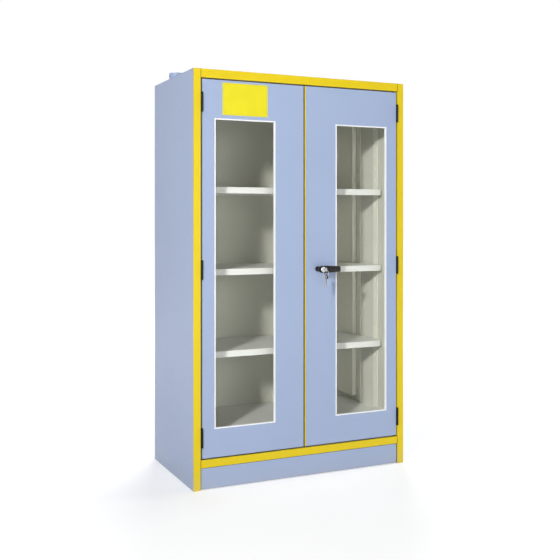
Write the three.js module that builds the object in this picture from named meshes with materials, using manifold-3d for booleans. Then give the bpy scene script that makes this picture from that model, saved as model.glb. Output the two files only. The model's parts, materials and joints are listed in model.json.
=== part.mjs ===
// Flammable safety cabinet with two glazed doors, in millimetres.
// X runs to the right along the front, Y runs to the back and Z up.
// The pieces are written with Y = 0 on the face of the front frame. The group is then moved
// so that the origin lies under the middle of the whole cabinet, key included.

import * as THREE from "three";
import { mergeVertices } from "three/addons/utils/BufferGeometryUtils.js";
import Module from "manifold-3d";

const wasm = await Module();
wasm.setup();

const LEFT = -1;
const RIGHT = 1;
const SIDES = [LEFT, RIGHT];

// Case
const CASE_WIDTH = 1140;
const CASE_DEPTH = 610;
const CASE_HEIGHT = 1950;
const CASE_SHEET = 1.5;
const REAR_FLANGE = 25;
const BOARD_THICKNESS = 63;
const FIT = 0.3;

// Front frame
const POST_WIDTH = 36;
const FRAME_DEPTH = 54;
const FRAME_SHEET = 2;
const FRAME_LIP = 6;
const TOP_RAIL_HEIGHT = 41;
const BOTTOM_RAIL_HEIGHT = 37;
const BOTTOM_RAIL_UNDERSIDE = 103;
const POST_FOOT_THICKNESS = 3;
const PLINTH_RECESS = 6;
const PLINTH_FLOOR_GAP = 4;

// Doors
const DOOR_THICKNESS = 50;
const DOOR_HINGE_GAP = 8;
const DOOR_END_GAP = 6.5;
const DOOR_MEETING_GAP = 8;
const DOOR_SHEET = 1.5;
const MEETING_STRIP_THICKNESS = 3.7;

// Windows
const WINDOW_HINGE_MARGIN = 59;
const WINDOW_TOP_MARGIN = 179.5;
const WINDOW_BOTTOM_MARGIN = 132.5;
const LEFT_WINDOW_MEETING_MARGIN = 152;
const RIGHT_WINDOW_MEETING_MARGIN = 165;
const TRIM_WIDTH = 5.5;
const TRIM_WALL = 2;
const TRIM_FACE = 1.7;
const GLASS_SETBACK = 12;
const GLASS_THICKNESS = 20;
const GLASS_BEHIND_TRIM = 27.5;
const GLASS_REAR_LIP = 5;

// Door seal on the fire boards
const SEAL_WIDTH = 12;
const SEAL_MARGIN = 2;
const SEAL_DOOR_GAP = 0.6;

// Hinges
const HINGE_HEIGHT = 90;
const HINGE_END_MARGIN = 51.5;
const HINGE_TOP_EXTRA = 10;
const KNUCKLE_RADIUS = 5;
const KNUCKLE_STANDOFF = 0.5;
const HINGE_PIN_RADIUS = 2.5;
const HINGE_LEAF_THICKNESS = 2.5;
const HINGE_LEAF_DEPTH = 38;
const HINGE_LEAF_CLEARANCE = 1.1;
const PIN_END_GAP = 5;

// Sump, floor cover and shelves
const TRAY_HEIGHT = 85.1;
const TRAY_SHEET = 1.5;
const TRAY_SIDE_GAP = 3;
const TRAY_FRONT_GAP = 8;
const COVER_THICKNESS = 3;
const COVER_OVERHANG = 1.8;
const DRAIN_COUNT = 4;
const DRAIN_LENGTH = 160;
const DRAIN_WIDTH = 12;
const DRAIN_SETBACK = 20;
const SHELF_COUNT = 3;
const SHELF_PITCH = 393;
const FIRST_SHELF_RISE = 367;
const SHELF_LIP = 30;
const SHELF_SHEET = 1.5;
const SHELF_SIDE_GAP = 12.2;
const SHELF_SETBACK = 45.7;
const SHELF_BACK_GAP = 6;
const SHELF_DUCT_GAP = 8;

// Slotted uprights and the hooks of the shelves
const UPRIGHT_WIDTH = 40;
const UPRIGHT_THICKNESS = 3;
const FRONT_UPRIGHT_INSET = 70;
const UPRIGHT_DUCT_GAP = 8;
const UPRIGHT_END_GAP = 7;
const SLOTS_PER_SHELF_PITCH = 6;
const SLOT_END_MARGIN = 12;
const HOOK_THICKNESS = 2;
const HOOK_HEIGHT = 16;
const HOOK_DROP = 10;
const HOOK_SIDE_PLAY = 0.8;
const HOOK_LIFT = 8;

// Air ducts, roof collars and fire dampers
const DUCT_STANDOFF = 25;
const DUCT_WIDTH = 170;
const DUCT_FLOOR_GAP = 31;
const DUCT_SHEET = 1.5;
const COLLAR_SIDE_INSET = 85;
const COLLAR_BACK_INSET = 105;
const COLLAR_RADIUS = 37.5;
const COLLAR_WALL = 1.5;
const COLLAR_RISE = 55;
const COLLAR_FLANGE_RADIUS = 52;
const COLLAR_FLANGE_THICKNESS = 2;
const COLLAR_HOLE_PLAY = 0.5;
const CEILING_SLOT_LENGTH = 60;
const CEILING_SLOT_DEPTH = 20;
const DAMPER_DROP = 60;
const DAMPER_PLAY = 1;
const DAMPER_THICKNESS = 2;
const DAMPER_SHAFT_RADIUS = 3;

// Handle, lock and rods
const LOCK_INSET = 64;
const LOCK_HEIGHT = 1010;
const ROSE_RADIUS = 13;
const ROSE_THICKNESS = 6;
const HUB_FOOT_RADIUS = 11;
const HUB_NECK_RADIUS = 8.5;
const HUB_HEAD_RADIUS = 17.5;
const HUB_LENGTH = 56;
const HUB_HEAD_LENGTH = 22;
const GRIP_START = 12;
const GRIP_LENGTH = 88;
const GRIP_HEIGHT = 36;
const GRIP_DEPTH = 24;
const GRIP_TAPER = 0.77;
const TONGUE_LENGTH = 40;
const TONGUE_HEIGHT = 14;
const TONGUE_THICKNESS = 10;
const SPINDLE_WIDTH = 8;
const SPINDLE_PLAY = 2;
const PLUG_RADIUS = 7;
const PLUG_LENGTH = 22;
const KEY_THICKNESS = 2.2;
const KEY_BLADE_HEIGHT = 8;
const KEY_BLADE_REACH = 13;
const KEY_BLADE_DEPTH = 17;
const KEY_BOW_RADIUS = 11;
const KEY_HOLE_RADIUS = 3.5;
const ROD_TRAVEL = 24;
const ROD_WIDTH = 8;
const ROD_THICKNESS = 5;
const ROD_FRONT = 8;
const ROD_END_SETBACK = 3;
const ROD_PLAY = 0.6;
const PINION_TEETH = 12;
const TOOTH_ADDENDUM = 1.8;
const TOOTH_DEDENDUM = 2.4;
const TOOTH_TIP_WIDTH = 1.8;
const TOOTH_ROOT_WIDTH = 4.4;
const RACK_TEETH = 5;

// Facets of round pieces
const ROUND_SIDES = 32;
const SMALL_SIDES = 16;

// Places worked out from the sizes above
const HALF_WIDTH = CASE_WIDTH / 2;
const POST_INNER = HALF_WIDTH - POST_WIDTH;
const INSIDE_SKIN = HALF_WIDTH - CASE_SHEET;
const BOARD_OUTER = INSIDE_SKIN - FIT;
const CAVITY_HALF = BOARD_OUTER - BOARD_THICKNESS;
const SKIN_FRONT = FRAME_SHEET + FIT;
const FLANGE_FRONT = CASE_DEPTH - CASE_SHEET;
const BACK_PANEL_FRONT = FLANGE_FRONT - FIT - CASE_SHEET;
const BOARD_FRONT = FRAME_DEPTH + FIT;
const BOARD_BACK = BACK_PANEL_FRONT - FIT;
const CAVITY_BACK = BOARD_BACK - BOARD_THICKNESS;
const ROOF_UNDERSIDE = CASE_HEIGHT - CASE_SHEET;
const SKIN_TOP = ROOF_UNDERSIDE - FIT;
const CEILING = SKIN_TOP - BOARD_THICKNESS;
const BASE_TOP = BOTTOM_RAIL_UNDERSIDE;
const FLOOR_BOARD_TOP = BASE_TOP + FIT + BOARD_THICKNESS;
const DOOR_TOP = CASE_HEIGHT - TOP_RAIL_HEIGHT - DOOR_END_GAP;
const DOOR_BOTTOM = BOTTOM_RAIL_UNDERSIDE + BOTTOM_RAIL_HEIGHT + DOOR_END_GAP;
const DOOR_HINGE_EDGE = POST_INNER - DOOR_HINGE_GAP;
const DOOR_MEETING_EDGE = DOOR_MEETING_GAP / 2;
const RIGHT_SKIN_EDGE = DOOR_MEETING_EDGE + MEETING_STRIP_THICKNESS + FIT;
const TRAY_RIM = FLOOR_BOARD_TOP + FIT + TRAY_HEIGHT;
const COVER_TOP = TRAY_RIM + FIT + COVER_THICKNESS;
const SHELF_HALF = CAVITY_HALF - SHELF_SIDE_GAP;
const SHELF_FRONT = BOARD_FRONT + SHELF_SETBACK;
const DUCT_FRONT = CAVITY_BACK - FIT - DUCT_WIDTH;
const LOCK_X = RIGHT_SKIN_EDGE + LOCK_INSET;
const PITCH_RADIUS = ROD_TRAVEL / (Math.PI / 2);
const HUB_BACK = -(ROSE_THICKNESS + 2 * FIT);
const HUB_FRONT = HUB_BACK - HUB_LENGTH;
const HUB_MIDDLE = HUB_FRONT + HUB_HEAD_LENGTH / 2;
const KEY_REACH = -HUB_FRONT + KEY_BLADE_REACH + 2 * KEY_BOW_RADIUS;

const FINISH = {
  bluePaint: new THREE.MeshStandardMaterial({ color: 0xa6b5d3, roughness: 0.45, metalness: 0 }),
  yellowPaint: new THREE.MeshStandardMaterial({ color: 0xebd134, roughness: 0.45, metalness: 0 }),
  whitePaint: new THREE.MeshStandardMaterial({ color: 0xeeeee6, roughness: 0.5, metalness: 0 }),
  facedBoard: new THREE.MeshStandardMaterial({ color: 0xe2e2d8, roughness: 0.6, metalness: 0 }),
  trimWhite: new THREE.MeshStandardMaterial({ color: 0xf4f5f6, roughness: 0.4, metalness: 0 }),
  glass: new THREE.MeshStandardMaterial({ color: 0xdfe9e6, roughness: 0.05, metalness: 0 }),
  seal: new THREE.MeshStandardMaterial({ color: 0x2b2b2a, roughness: 0.8, metalness: 0 }),
  zinc: new THREE.MeshStandardMaterial({ color: 0xb9bcbd, roughness: 0.4, metalness: 0.9 }),
  blackSteel: new THREE.MeshStandardMaterial({ color: 0x1a1714, roughness: 0.5, metalness: 0.4 }),
  chrome: new THREE.MeshStandardMaterial({ color: 0xd8d8d8, roughness: 0.15, metalness: 1 }),
  blackPlastic: new THREE.MeshStandardMaterial({ color: 0x191817, roughness: 0.35, metalness: 0 }),
};

// A plain block between two corners.
function block(x0, x1, y0, y1, z0, z1) {
  const box = new THREE.BoxGeometry(Math.abs(x1 - x0), y1 - y0, z1 - z0);
  return box.translate((x0 + x1) / 2, (y0 + y1) / 2, (z0 + z1) / 2);
}

// A block over a rectangle of the front, between two depths.
function slab(rect, y0, y1) {
  return block(rect.x0, rect.x1, y0, y1, rect.z0, rect.z1);
}

// The same rectangle drawn in by an amount, or let out by a negative one.
function inset(rect, by) {
  return { x0: rect.x0 + by, x1: rect.x1 - by, z0: rect.z0 + by, z1: rect.z1 - by };
}

// A round bar along one axis, through a point given by its two other coordinates.
function bar(axis, radius, centre, from, to, sides) {
  const cylinder = new THREE.CylinderGeometry(radius, radius, to - from, sides);
  const middle = (from + to) / 2;
  if (axis === "x") {
    return cylinder.rotateZ(Math.PI / 2).translate(middle, centre[0], centre[1]);
  }
  if (axis === "y") {
    return cylinder.translate(centre[0], middle, centre[1]);
  }
  return cylinder.rotateX(Math.PI / 2).translate(centre[0], centre[1], middle);
}

// A flat outline as a closed shape, with any holes.
function outline(points, holes = []) {
  const shape = new THREE.Shape(points.map(([a, b]) => new THREE.Vector2(a, b)));
  for (const hole of holes) {
    shape.holes.push(new THREE.Path(hole.map(([a, b]) => new THREE.Vector2(a, b))));
  }
  return shape;
}

function extrude(shape, depth) {
  return new THREE.ExtrudeGeometry(shape, { depth, bevelEnabled: false, curveSegments: SMALL_SIDES });
}

// An outline in X and Y, raised from z0 to z1.
function upright(shape, z0, z1) {
  return extrude(shape, z1 - z0).translate(0, 0, z0);
}

// An outline in Y and Z, drawn along X.
function alongX(shape, x0, x1) {
  const turn = new THREE.Matrix4().makeBasis(
    new THREE.Vector3(0, 1, 0),
    new THREE.Vector3(0, 0, 1),
    new THREE.Vector3(1, 0, 0),
  );
  return extrude(shape, x1 - x0).applyMatrix4(turn).translate(x0, 0, 0);
}

// An outline in X and Z, drawn along Y.
function alongY(shape, y0, y1) {
  return extrude(shape, y1 - y0).rotateX(Math.PI / 2).translate(0, y1, 0);
}

function rectangle(a0, a1, b0, b1) {
  return [[a0, b0], [a1, b0], [a1, b1], [a0, b1]];
}

// Solids for joining and cutting.
function solidOf(geometry) {
  const bare = new THREE.BufferGeometry();
  bare.setAttribute("position", geometry.getAttribute("position"));
  bare.setIndex(geometry.index);
  const merged = mergeVertices(bare, 1e-4);
  return new wasm.Manifold(new wasm.Mesh({
    numProp: 3,
    vertProperties: merged.getAttribute("position").array,
    triVerts: new Uint32Array(merged.index.array),
  }));
}

function geometryOf(solid) {
  const { vertProperties, triVerts } = solid.getMesh();
  const geometry = new THREE.BufferGeometry();
  geometry.setAttribute("position", new THREE.BufferAttribute(vertProperties, 3));
  geometry.setIndex(new THREE.BufferAttribute(triVerts, 1));
  return geometry;
}

function join(...geometries) {
  return geometryOf(geometries.map(solidOf).reduce((whole, next) => whole.add(next)));
}

function cut(base, ...tools) {
  return geometryOf(tools.map(solidOf).reduce((rest, next) => rest.subtract(next), solidOf(base)));
}

function piece(name, geometry, material) {
  geometry.computeVertexNormals();
  const mesh = new THREE.Mesh(geometry, material);
  mesh.name = name;
  return mesh;
}

function group(...meshes) {
  const assembly = new THREE.Group();
  assembly.add(...meshes);
  return assembly;
}

function sideName(side) {
  return side === LEFT ? "left" : "right";
}

// Case panels

function sidePanel(side) {
  const wall = block(side * INSIDE_SKIN, side * HALF_WIDTH, SKIN_FRONT, CASE_DEPTH, 0, SKIN_TOP);
  const flangeTip = side * (HALF_WIDTH - REAR_FLANGE);
  const flange = block(flangeTip, side * HALF_WIDTH, FLANGE_FRONT, CASE_DEPTH, 0, SKIN_TOP);
  return piece(`${sideName(side)}_side_panel`, join(wall, flange), FINISH.bluePaint);
}

function backPanel() {
  const back = BACK_PANEL_FRONT + CASE_SHEET;
  const sheet = block(-BOARD_OUTER, BOARD_OUTER, BACK_PANEL_FRONT, back, 0, SKIN_TOP);
  return piece("back_panel", sheet, FINISH.bluePaint);
}

function collarCentre(side) {
  return [side * (HALF_WIDTH - COLLAR_SIDE_INSET), CASE_DEPTH - COLLAR_BACK_INSET];
}

function collarHole(side, z0, z1) {
  return bar("z", COLLAR_RADIUS + COLLAR_HOLE_PLAY, collarCentre(side), z0, z1, ROUND_SIDES);
}

function roofPanel() {
  const sheet = block(-HALF_WIDTH, HALF_WIDTH, SKIN_FRONT, CASE_DEPTH, ROOF_UNDERSIDE, CASE_HEIGHT);
  const holes = SIDES.map((side) => collarHole(side, ROOF_UNDERSIDE - FIT, CASE_HEIGHT + FIT));
  return piece("roof_panel", cut(sheet, ...holes), FINISH.bluePaint);
}

function basePlate() {
  const sheet = block(-BOARD_OUTER, BOARD_OUTER, BOARD_FRONT, BOARD_BACK, BASE_TOP - CASE_SHEET, BASE_TOP);
  return piece("base_plate", sheet, FINISH.bluePaint);
}

function plinthPanel() {
  const end = POST_INNER - FIT;
  const back = PLINTH_RECESS + CASE_SHEET;
  const section = outline([
    [-end, PLINTH_RECESS],
    [end, PLINTH_RECESS],
    [end, FRAME_DEPTH],
    [end - CASE_SHEET, FRAME_DEPTH],
    [end - CASE_SHEET, back],
    [-end + CASE_SHEET, back],
    [-end + CASE_SHEET, FRAME_DEPTH],
    [-end, FRAME_DEPTH],
  ]);
  const panel = upright(section, PLINTH_FLOOR_GAP, BOTTOM_RAIL_UNDERSIDE - FIT);
  return piece("plinth_panel", panel, FINISH.bluePaint);
}

// Front frame

function post(side) {
  const inner = side * POST_INNER;
  const web = side * (POST_INNER + FRAME_SHEET);
  const outer = side * BOARD_OUTER;
  const face = block(inner, side * HALF_WIDTH, 0, FRAME_SHEET, 0, CASE_HEIGHT);
  const jamb = block(inner, web, 0, FRAME_DEPTH, 0, SKIN_TOP);
  const rear = block(inner, outer, FRAME_DEPTH - FRAME_SHEET, FRAME_DEPTH, 0, SKIN_TOP);
  const foot = block(inner, outer, 0, FRAME_DEPTH, 0, POST_FOOT_THICKNESS);
  return piece(`${sideName(side)}_post`, join(face, jamb, rear, foot), FINISH.yellowPaint);
}

function topRail() {
  const bottom = CASE_HEIGHT - TOP_RAIL_HEIGHT;
  const section = outline([
    [0, bottom],
    [FRAME_LIP, bottom],
    [FRAME_LIP, bottom + FRAME_SHEET],
    [FRAME_SHEET, bottom + FRAME_SHEET],
    [FRAME_SHEET, SKIN_TOP - FRAME_SHEET],
    [FRAME_DEPTH, SKIN_TOP - FRAME_SHEET],
    [FRAME_DEPTH, SKIN_TOP],
    [FRAME_SHEET, SKIN_TOP],
    [FRAME_SHEET, CASE_HEIGHT],
    [0, CASE_HEIGHT],
  ]);
  const end = POST_INNER - FIT;
  return piece("top_rail", alongX(section, -end, end), FINISH.yellowPaint);
}

function bottomRail() {
  const bottom = BOTTOM_RAIL_UNDERSIDE;
  const top = bottom + BOTTOM_RAIL_HEIGHT;
  const section = outline([
    [0, bottom],
    [FRAME_LIP, bottom],
    [FRAME_LIP, bottom + FRAME_SHEET],
    [FRAME_SHEET, bottom + FRAME_SHEET],
    [FRAME_SHEET, top - FRAME_SHEET],
    [FRAME_LIP, top - FRAME_SHEET],
    [FRAME_LIP, top],
    [0, top],
  ]);
  const end = POST_INNER - FIT;
  return piece("bottom_rail", alongX(section, -end, end), FINISH.yellowPaint);
}

// Fire boards with a painted inner face

function fireBoards() {
  const wallBottom = FLOOR_BOARD_TOP + FIT;
  const wallTop = CEILING - FIT;
  const sideBoard = (side) =>
    block(side * CAVITY_HALF, side * BOARD_OUTER, BOARD_FRONT, BOARD_BACK, wallBottom, wallTop);
  const backHalf = CAVITY_HALF - FIT;
  const backBoard = block(-backHalf, backHalf, CAVITY_BACK, BOARD_BACK, wallBottom, wallTop);
  const floorBoard = block(
    -BOARD_OUTER, BOARD_OUTER, BOARD_FRONT, BOARD_BACK, BASE_TOP + FIT, FLOOR_BOARD_TOP,
  );
  return group(
    piece("left_wall_board", sideBoard(LEFT), FINISH.facedBoard),
    piece("right_wall_board", sideBoard(RIGHT), FINISH.facedBoard),
    piece("back_wall_board", backBoard, FINISH.facedBoard),
    piece("floor_board", floorBoard, FINISH.facedBoard),
    ceilingBoard(),
  );
}

// Each collar stands in a round hole, which a slot joins to the top of the air duct.
function ceilingBoard() {
  const blank = block(-BOARD_OUTER, BOARD_OUTER, BOARD_FRONT, BOARD_BACK, CEILING, SKIN_TOP);
  const slotTop = CEILING + CEILING_SLOT_DEPTH;
  const tools = [];
  for (const side of SIDES) {
    const [, y] = collarCentre(side);
    tools.push(collarHole(side, slotTop, SKIN_TOP + FIT));
    tools.push(block(
      side * (CAVITY_HALF - DUCT_STANDOFF + DUCT_SHEET), side * (CAVITY_HALF - FIT),
      y - CEILING_SLOT_LENGTH / 2, y + CEILING_SLOT_LENGTH / 2,
      CEILING - FIT, slotTop + FIT,
    ));
  }
  return piece("ceiling_board", cut(blank, ...tools), FINISH.facedBoard);
}

function doorSeal() {
  const opening = { x0: -CAVITY_HALF, x1: CAVITY_HALF, z0: FLOOR_BOARD_TOP, z1: CEILING };
  const inner = inset(opening, -SEAL_MARGIN);
  const outer = inset(inner, -SEAL_WIDTH);
  const front = DOOR_THICKNESS + SEAL_DOOR_GAP;
  const back = BOARD_FRONT - FIT;
  const ring = cut(slab(outer, front, back), slab(inner, front - FIT, back + FIT));
  return piece("door_seal", ring, FINISH.seal);
}

// Sump and shelves

function spillTray() {
  const half = CAVITY_HALF - TRAY_SIDE_GAP;
  const front = BOARD_FRONT + TRAY_FRONT_GAP;
  const back = CAVITY_BACK - TRAY_SIDE_GAP;
  const bottom = FLOOR_BOARD_TOP + FIT;
  const outside = block(-half, half, front, back, bottom, TRAY_RIM);
  const inside = block(
    -half + TRAY_SHEET, half - TRAY_SHEET,
    front + TRAY_SHEET, back - TRAY_SHEET,
    bottom + TRAY_SHEET, TRAY_RIM + FIT,
  );
  return piece("spill_tray", cut(outside, inside), FINISH.zinc);
}

function trayCover() {
  const half = CAVITY_HALF - TRAY_SIDE_GAP + COVER_OVERHANG;
  const front = BOARD_FRONT + TRAY_FRONT_GAP - COVER_OVERHANG;
  const back = CAVITY_BACK - TRAY_SIDE_GAP + COVER_OVERHANG;
  const bottom = COVER_TOP - COVER_THICKNESS;
  const drainStep = (2 * half) / DRAIN_COUNT;
  const drainFront = front + DRAIN_SETBACK;
  const drains = [];
  for (let i = 0; i < DRAIN_COUNT; i += 1) {
    const middle = -half + drainStep * (i + 0.5);
    drains.push(block(
      middle - DRAIN_LENGTH / 2, middle + DRAIN_LENGTH / 2,
      drainFront, drainFront + DRAIN_WIDTH,
      bottom - FIT, COVER_TOP + FIT,
    ));
  }
  const plate = block(-half, half, front, back, bottom, COVER_TOP);
  return piece("tray_cover", cut(plate, ...drains), FINISH.whitePaint);
}

// The shelf is drawn in at the rear corners to pass the air ducts.
function shelfOutline(drawnIn) {
  const half = SHELF_HALF - drawnIn;
  const narrow = CAVITY_HALF - DUCT_STANDOFF - SHELF_DUCT_GAP - drawnIn;
  const front = SHELF_FRONT + drawnIn;
  const step = DUCT_FRONT - SHELF_DUCT_GAP - drawnIn;
  const rear = CAVITY_BACK - SHELF_BACK_GAP - drawnIn;
  return outline([
    [-half, front], [half, front], [half, step], [narrow, step],
    [narrow, rear], [-narrow, rear], [-narrow, step], [-half, step],
  ]);
}

function uprightCentres() {
  return [SHELF_FRONT + FRONT_UPRIGHT_INSET, DUCT_FRONT - UPRIGHT_DUCT_GAP - UPRIGHT_WIDTH / 2];
}

function shelfTop(index) {
  return COVER_TOP + FIRST_SHELF_RISE + index * SHELF_PITCH;
}

// Lower edge of the shelf's hooks, which is also what the slots line up with.
function hookBottom(top) {
  return top - HOOK_DROP - HOOK_HEIGHT;
}

function shelf(index) {
  const top = shelfTop(index);
  const bottom = top - SHELF_LIP;
  const blank = upright(shelfOutline(0), bottom, top);
  const hollow = upright(shelfOutline(SHELF_SHEET), bottom - FIT, top - SHELF_SHEET);
  const pan = cut(blank, hollow);
  const hookTip = CAVITY_HALF - 2 * FIT;
  const hooks = [];
  for (const side of SIDES) {
    for (const y of uprightCentres()) {
      hooks.push(block(
        side * (SHELF_HALF - SHELF_SHEET), side * hookTip,
        y - HOOK_THICKNESS / 2, y + HOOK_THICKNESS / 2,
        hookBottom(top), hookBottom(top) + HOOK_HEIGHT,
      ));
    }
  }
  return piece(`shelf_${index + 1}`, join(pan, ...hooks), FINISH.whitePaint);
}

function slottedUpright(side, y, name) {
  const bottom = COVER_TOP + UPRIGHT_END_GAP;
  const top = CEILING - FIT - UPRIGHT_END_GAP;
  const slotHalf = HOOK_THICKNESS / 2 + HOOK_SIDE_PLAY;
  const slotHeight = HOOK_HEIGHT + HOOK_LIFT;
  const step = SHELF_PITCH / SLOTS_PER_SHELF_PITCH;
  const reference = hookBottom(shelfTop(0)) - FIT;
  const lowest = Math.ceil((bottom + SLOT_END_MARGIN - reference) / step);
  const highest = Math.floor((top - SLOT_END_MARGIN - slotHeight - reference) / step);
  const slots = [];
  for (let i = lowest; i <= highest; i += 1) {
    const z = reference + i * step;
    slots.push(rectangle(y - slotHalf, y + slotHalf, z, z + slotHeight));
  }
  const face = rectangle(y - UPRIGHT_WIDTH / 2, y + UPRIGHT_WIDTH / 2, bottom, top);
  const outer = CAVITY_HALF - FIT;
  const inner = outer - UPRIGHT_THICKNESS;
  const strip = alongX(outline(face, slots), Math.min(side * inner, side * outer),
    Math.max(side * inner, side * outer));
  return piece(`${sideName(side)}_${name}_upright`, strip, FINISH.whitePaint);
}

function uprights() {
  const [front, rear] = uprightCentres();
  return group(
    slottedUpright(LEFT, front, "front"),
    slottedUpright(LEFT, rear, "rear"),
    slottedUpright(RIGHT, front, "front"),
    slottedUpright(RIGHT, rear, "rear"),
  );
}

// Ventilation

function airDuct(side) {
  const outer = CAVITY_HALF - FIT;
  const inner = CAVITY_HALF - DUCT_STANDOFF;
  const back = CAVITY_BACK - FIT;
  const section = outline([
    [side * outer, DUCT_FRONT],
    [side * outer, DUCT_FRONT + DUCT_SHEET],
    [side * (inner + DUCT_SHEET), DUCT_FRONT + DUCT_SHEET],
    [side * (inner + DUCT_SHEET), back - DUCT_SHEET],
    [side * outer, back - DUCT_SHEET],
    [side * outer, back],
    [side * inner, back],
    [side * inner, DUCT_FRONT],
  ]);
  const duct = upright(section, COVER_TOP + DUCT_FLOOR_GAP, CEILING - FIT);
  return piece(`${sideName(side)}_air_duct`, duct, FINISH.whitePaint);
}

function damperHeight() {
  return CASE_HEIGHT + COLLAR_RISE - DAMPER_DROP;
}

function airCollar(side) {
  const [x, y] = collarCentre(side);
  const bottom = CEILING + CEILING_SLOT_DEPTH + FIT;
  const top = CASE_HEIGHT + COLLAR_RISE;
  const flangeBottom = CASE_HEIGHT + FIT;
  const inner = COLLAR_RADIUS - COLLAR_WALL;
  const profile = [
    [inner, bottom],
    [COLLAR_RADIUS, bottom],
    [COLLAR_RADIUS, flangeBottom],
    [COLLAR_FLANGE_RADIUS, flangeBottom],
    [COLLAR_FLANGE_RADIUS, flangeBottom + COLLAR_FLANGE_THICKNESS],
    [COLLAR_RADIUS, flangeBottom + COLLAR_FLANGE_THICKNESS],
    [COLLAR_RADIUS, top],
    [inner, top],
    [inner, bottom],
  ].map(([r, z]) => new THREE.Vector2(r, z));
  const tube = new THREE.LatheGeometry(profile, ROUND_SIDES).rotateX(Math.PI / 2).translate(x, y, 0);
  const bearing = bar(
    "x", DAMPER_SHAFT_RADIUS + FIT, [y, damperHeight()],
    x - 2 * COLLAR_RADIUS, x + 2 * COLLAR_RADIUS, SMALL_SIDES,
  );
  return piece(`${sideName(side)}_air_collar`, cut(tube, bearing), FINISH.bluePaint);
}

function damper(side) {
  const [x, y] = collarCentre(side);
  const z = damperHeight();
  const radius = COLLAR_RADIUS - COLLAR_WALL - DAMPER_PLAY;
  const disc = bar("y", radius, [x, z], y - DAMPER_THICKNESS / 2, y + DAMPER_THICKNESS / 2, ROUND_SIDES);
  const shaft = bar("x", DAMPER_SHAFT_RADIUS, [y, z], x - COLLAR_RADIUS, x + COLLAR_RADIUS, SMALL_SIDES);
  return piece(`${sideName(side)}_damper`, join(disc, shaft), FINISH.zinc);
}

// Doors

function doorRect(side) {
  return side === LEFT
    ? { x0: -DOOR_HINGE_EDGE, x1: -DOOR_MEETING_EDGE, z0: DOOR_BOTTOM, z1: DOOR_TOP }
    : { x0: RIGHT_SKIN_EDGE, x1: DOOR_HINGE_EDGE, z0: DOOR_BOTTOM, z1: DOOR_TOP };
}

// Outer edge of the window trim.
function windowRect(side) {
  const hingeEdge = DOOR_HINGE_EDGE - WINDOW_HINGE_MARGIN;
  return {
    x0: side === LEFT ? -hingeEdge : RIGHT_SKIN_EDGE + RIGHT_WINDOW_MEETING_MARGIN,
    x1: side === LEFT ? -DOOR_MEETING_EDGE - LEFT_WINDOW_MEETING_MARGIN : hingeEdge,
    z0: DOOR_BOTTOM + WINDOW_BOTTOM_MARGIN,
    z1: DOOR_TOP - WINDOW_TOP_MARGIN,
  };
}

function rodCentre(end) {
  return LOCK_X - end * (PITCH_RADIUS + TOOTH_DEDENDUM + ROD_WIDTH / 2);
}

// Slots in the door's edge folds that the rods slide through.
function rodSlots() {
  const halfWidth = ROD_WIDTH / 2 + ROD_PLAY;
  const slotAt = (x, z) => block(
    x - halfWidth, x + halfWidth,
    ROD_FRONT - ROD_PLAY, ROD_FRONT + ROD_THICKNESS + ROD_PLAY,
    z - 2 * DOOR_SHEET, z + 2 * DOOR_SHEET,
  );
  return [slotAt(rodCentre(1), DOOR_TOP), slotAt(rodCentre(-1), DOOR_BOTTOM)];
}

function spindleBore(from, to) {
  const radius = Math.hypot(SPINDLE_WIDTH, SPINDLE_WIDTH) / 2 + FIT;
  return bar("y", radius, [LOCK_X, LOCK_HEIGHT], from, to, SMALL_SIDES);
}

function doorSkin(side) {
  const rect = doorRect(side);
  const opening = inset(windowRect(side), TRIM_WIDTH - TRIM_WALL - FIT);
  const tools = [
    slab(inset(rect, DOOR_SHEET), DOOR_SHEET, DOOR_THICKNESS + FIT),
    slab(opening, -FIT, DOOR_SHEET + FIT),
  ];
  if (side === RIGHT) {
    tools.push(spindleBore(-FIT, DOOR_SHEET + FIT), ...rodSlots());
  }
  const pan = cut(slab(rect, 0, DOOR_THICKNESS), ...tools);
  return piece(`${sideName(side)}_door_skin`, pan, FINISH.bluePaint);
}

// Pocket for the pinion and the rods in the front of the right door's board.
function lockPockets() {
  const depth = ROD_FRONT + ROD_THICKNESS + SPINDLE_PLAY + FIT;
  const halfWidth = ROD_WIDTH / 2 + ROD_PLAY;
  const caseHalf = PITCH_RADIUS + TOOTH_DEDENDUM + ROD_WIDTH + ROD_PLAY;
  const caseHeight = ROD_TRAVEL + PITCH_RADIUS;
  const channel = (x, z0, z1) => block(x - halfWidth, x + halfWidth, 0, depth, z0, z1);
  return [
    block(LOCK_X - caseHalf, LOCK_X + caseHalf, 0, depth, LOCK_HEIGHT - caseHeight, LOCK_HEIGHT + caseHeight),
    channel(rodCentre(1), LOCK_HEIGHT, DOOR_TOP),
    channel(rodCentre(-1), DOOR_BOTTOM, LOCK_HEIGHT),
  ];
}

// The pane reaches behind the trim on every side, so that its edges are out of sight.
function paneRect(side) {
  return inset(windowRect(side), TRIM_WIDTH - GLASS_BEHIND_TRIM);
}

// In front of the pane the board fits the trim, and behind it a narrow lip holds the pane.
function doorBoard(side) {
  const rect = inset(doorRect(side), DOOR_SHEET + FIT);
  const front = DOOR_SHEET + FIT;
  const back = DOOR_THICKNESS - FIT;
  const pane = paneRect(side);
  const tools = [
    slab(inset(windowRect(side), TRIM_WIDTH - TRIM_WALL - FIT), 0, GLASS_SETBACK),
    slab(inset(pane, -FIT), GLASS_SETBACK - FIT, GLASS_SETBACK + GLASS_THICKNESS + FIT),
    slab(inset(pane, GLASS_REAR_LIP), GLASS_SETBACK, DOOR_THICKNESS),
  ];
  if (side === RIGHT) {
    tools.push(...lockPockets());
  }
  return piece(`${sideName(side)}_door_board`, cut(slab(rect, front, back), ...tools), FINISH.facedBoard);
}

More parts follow.
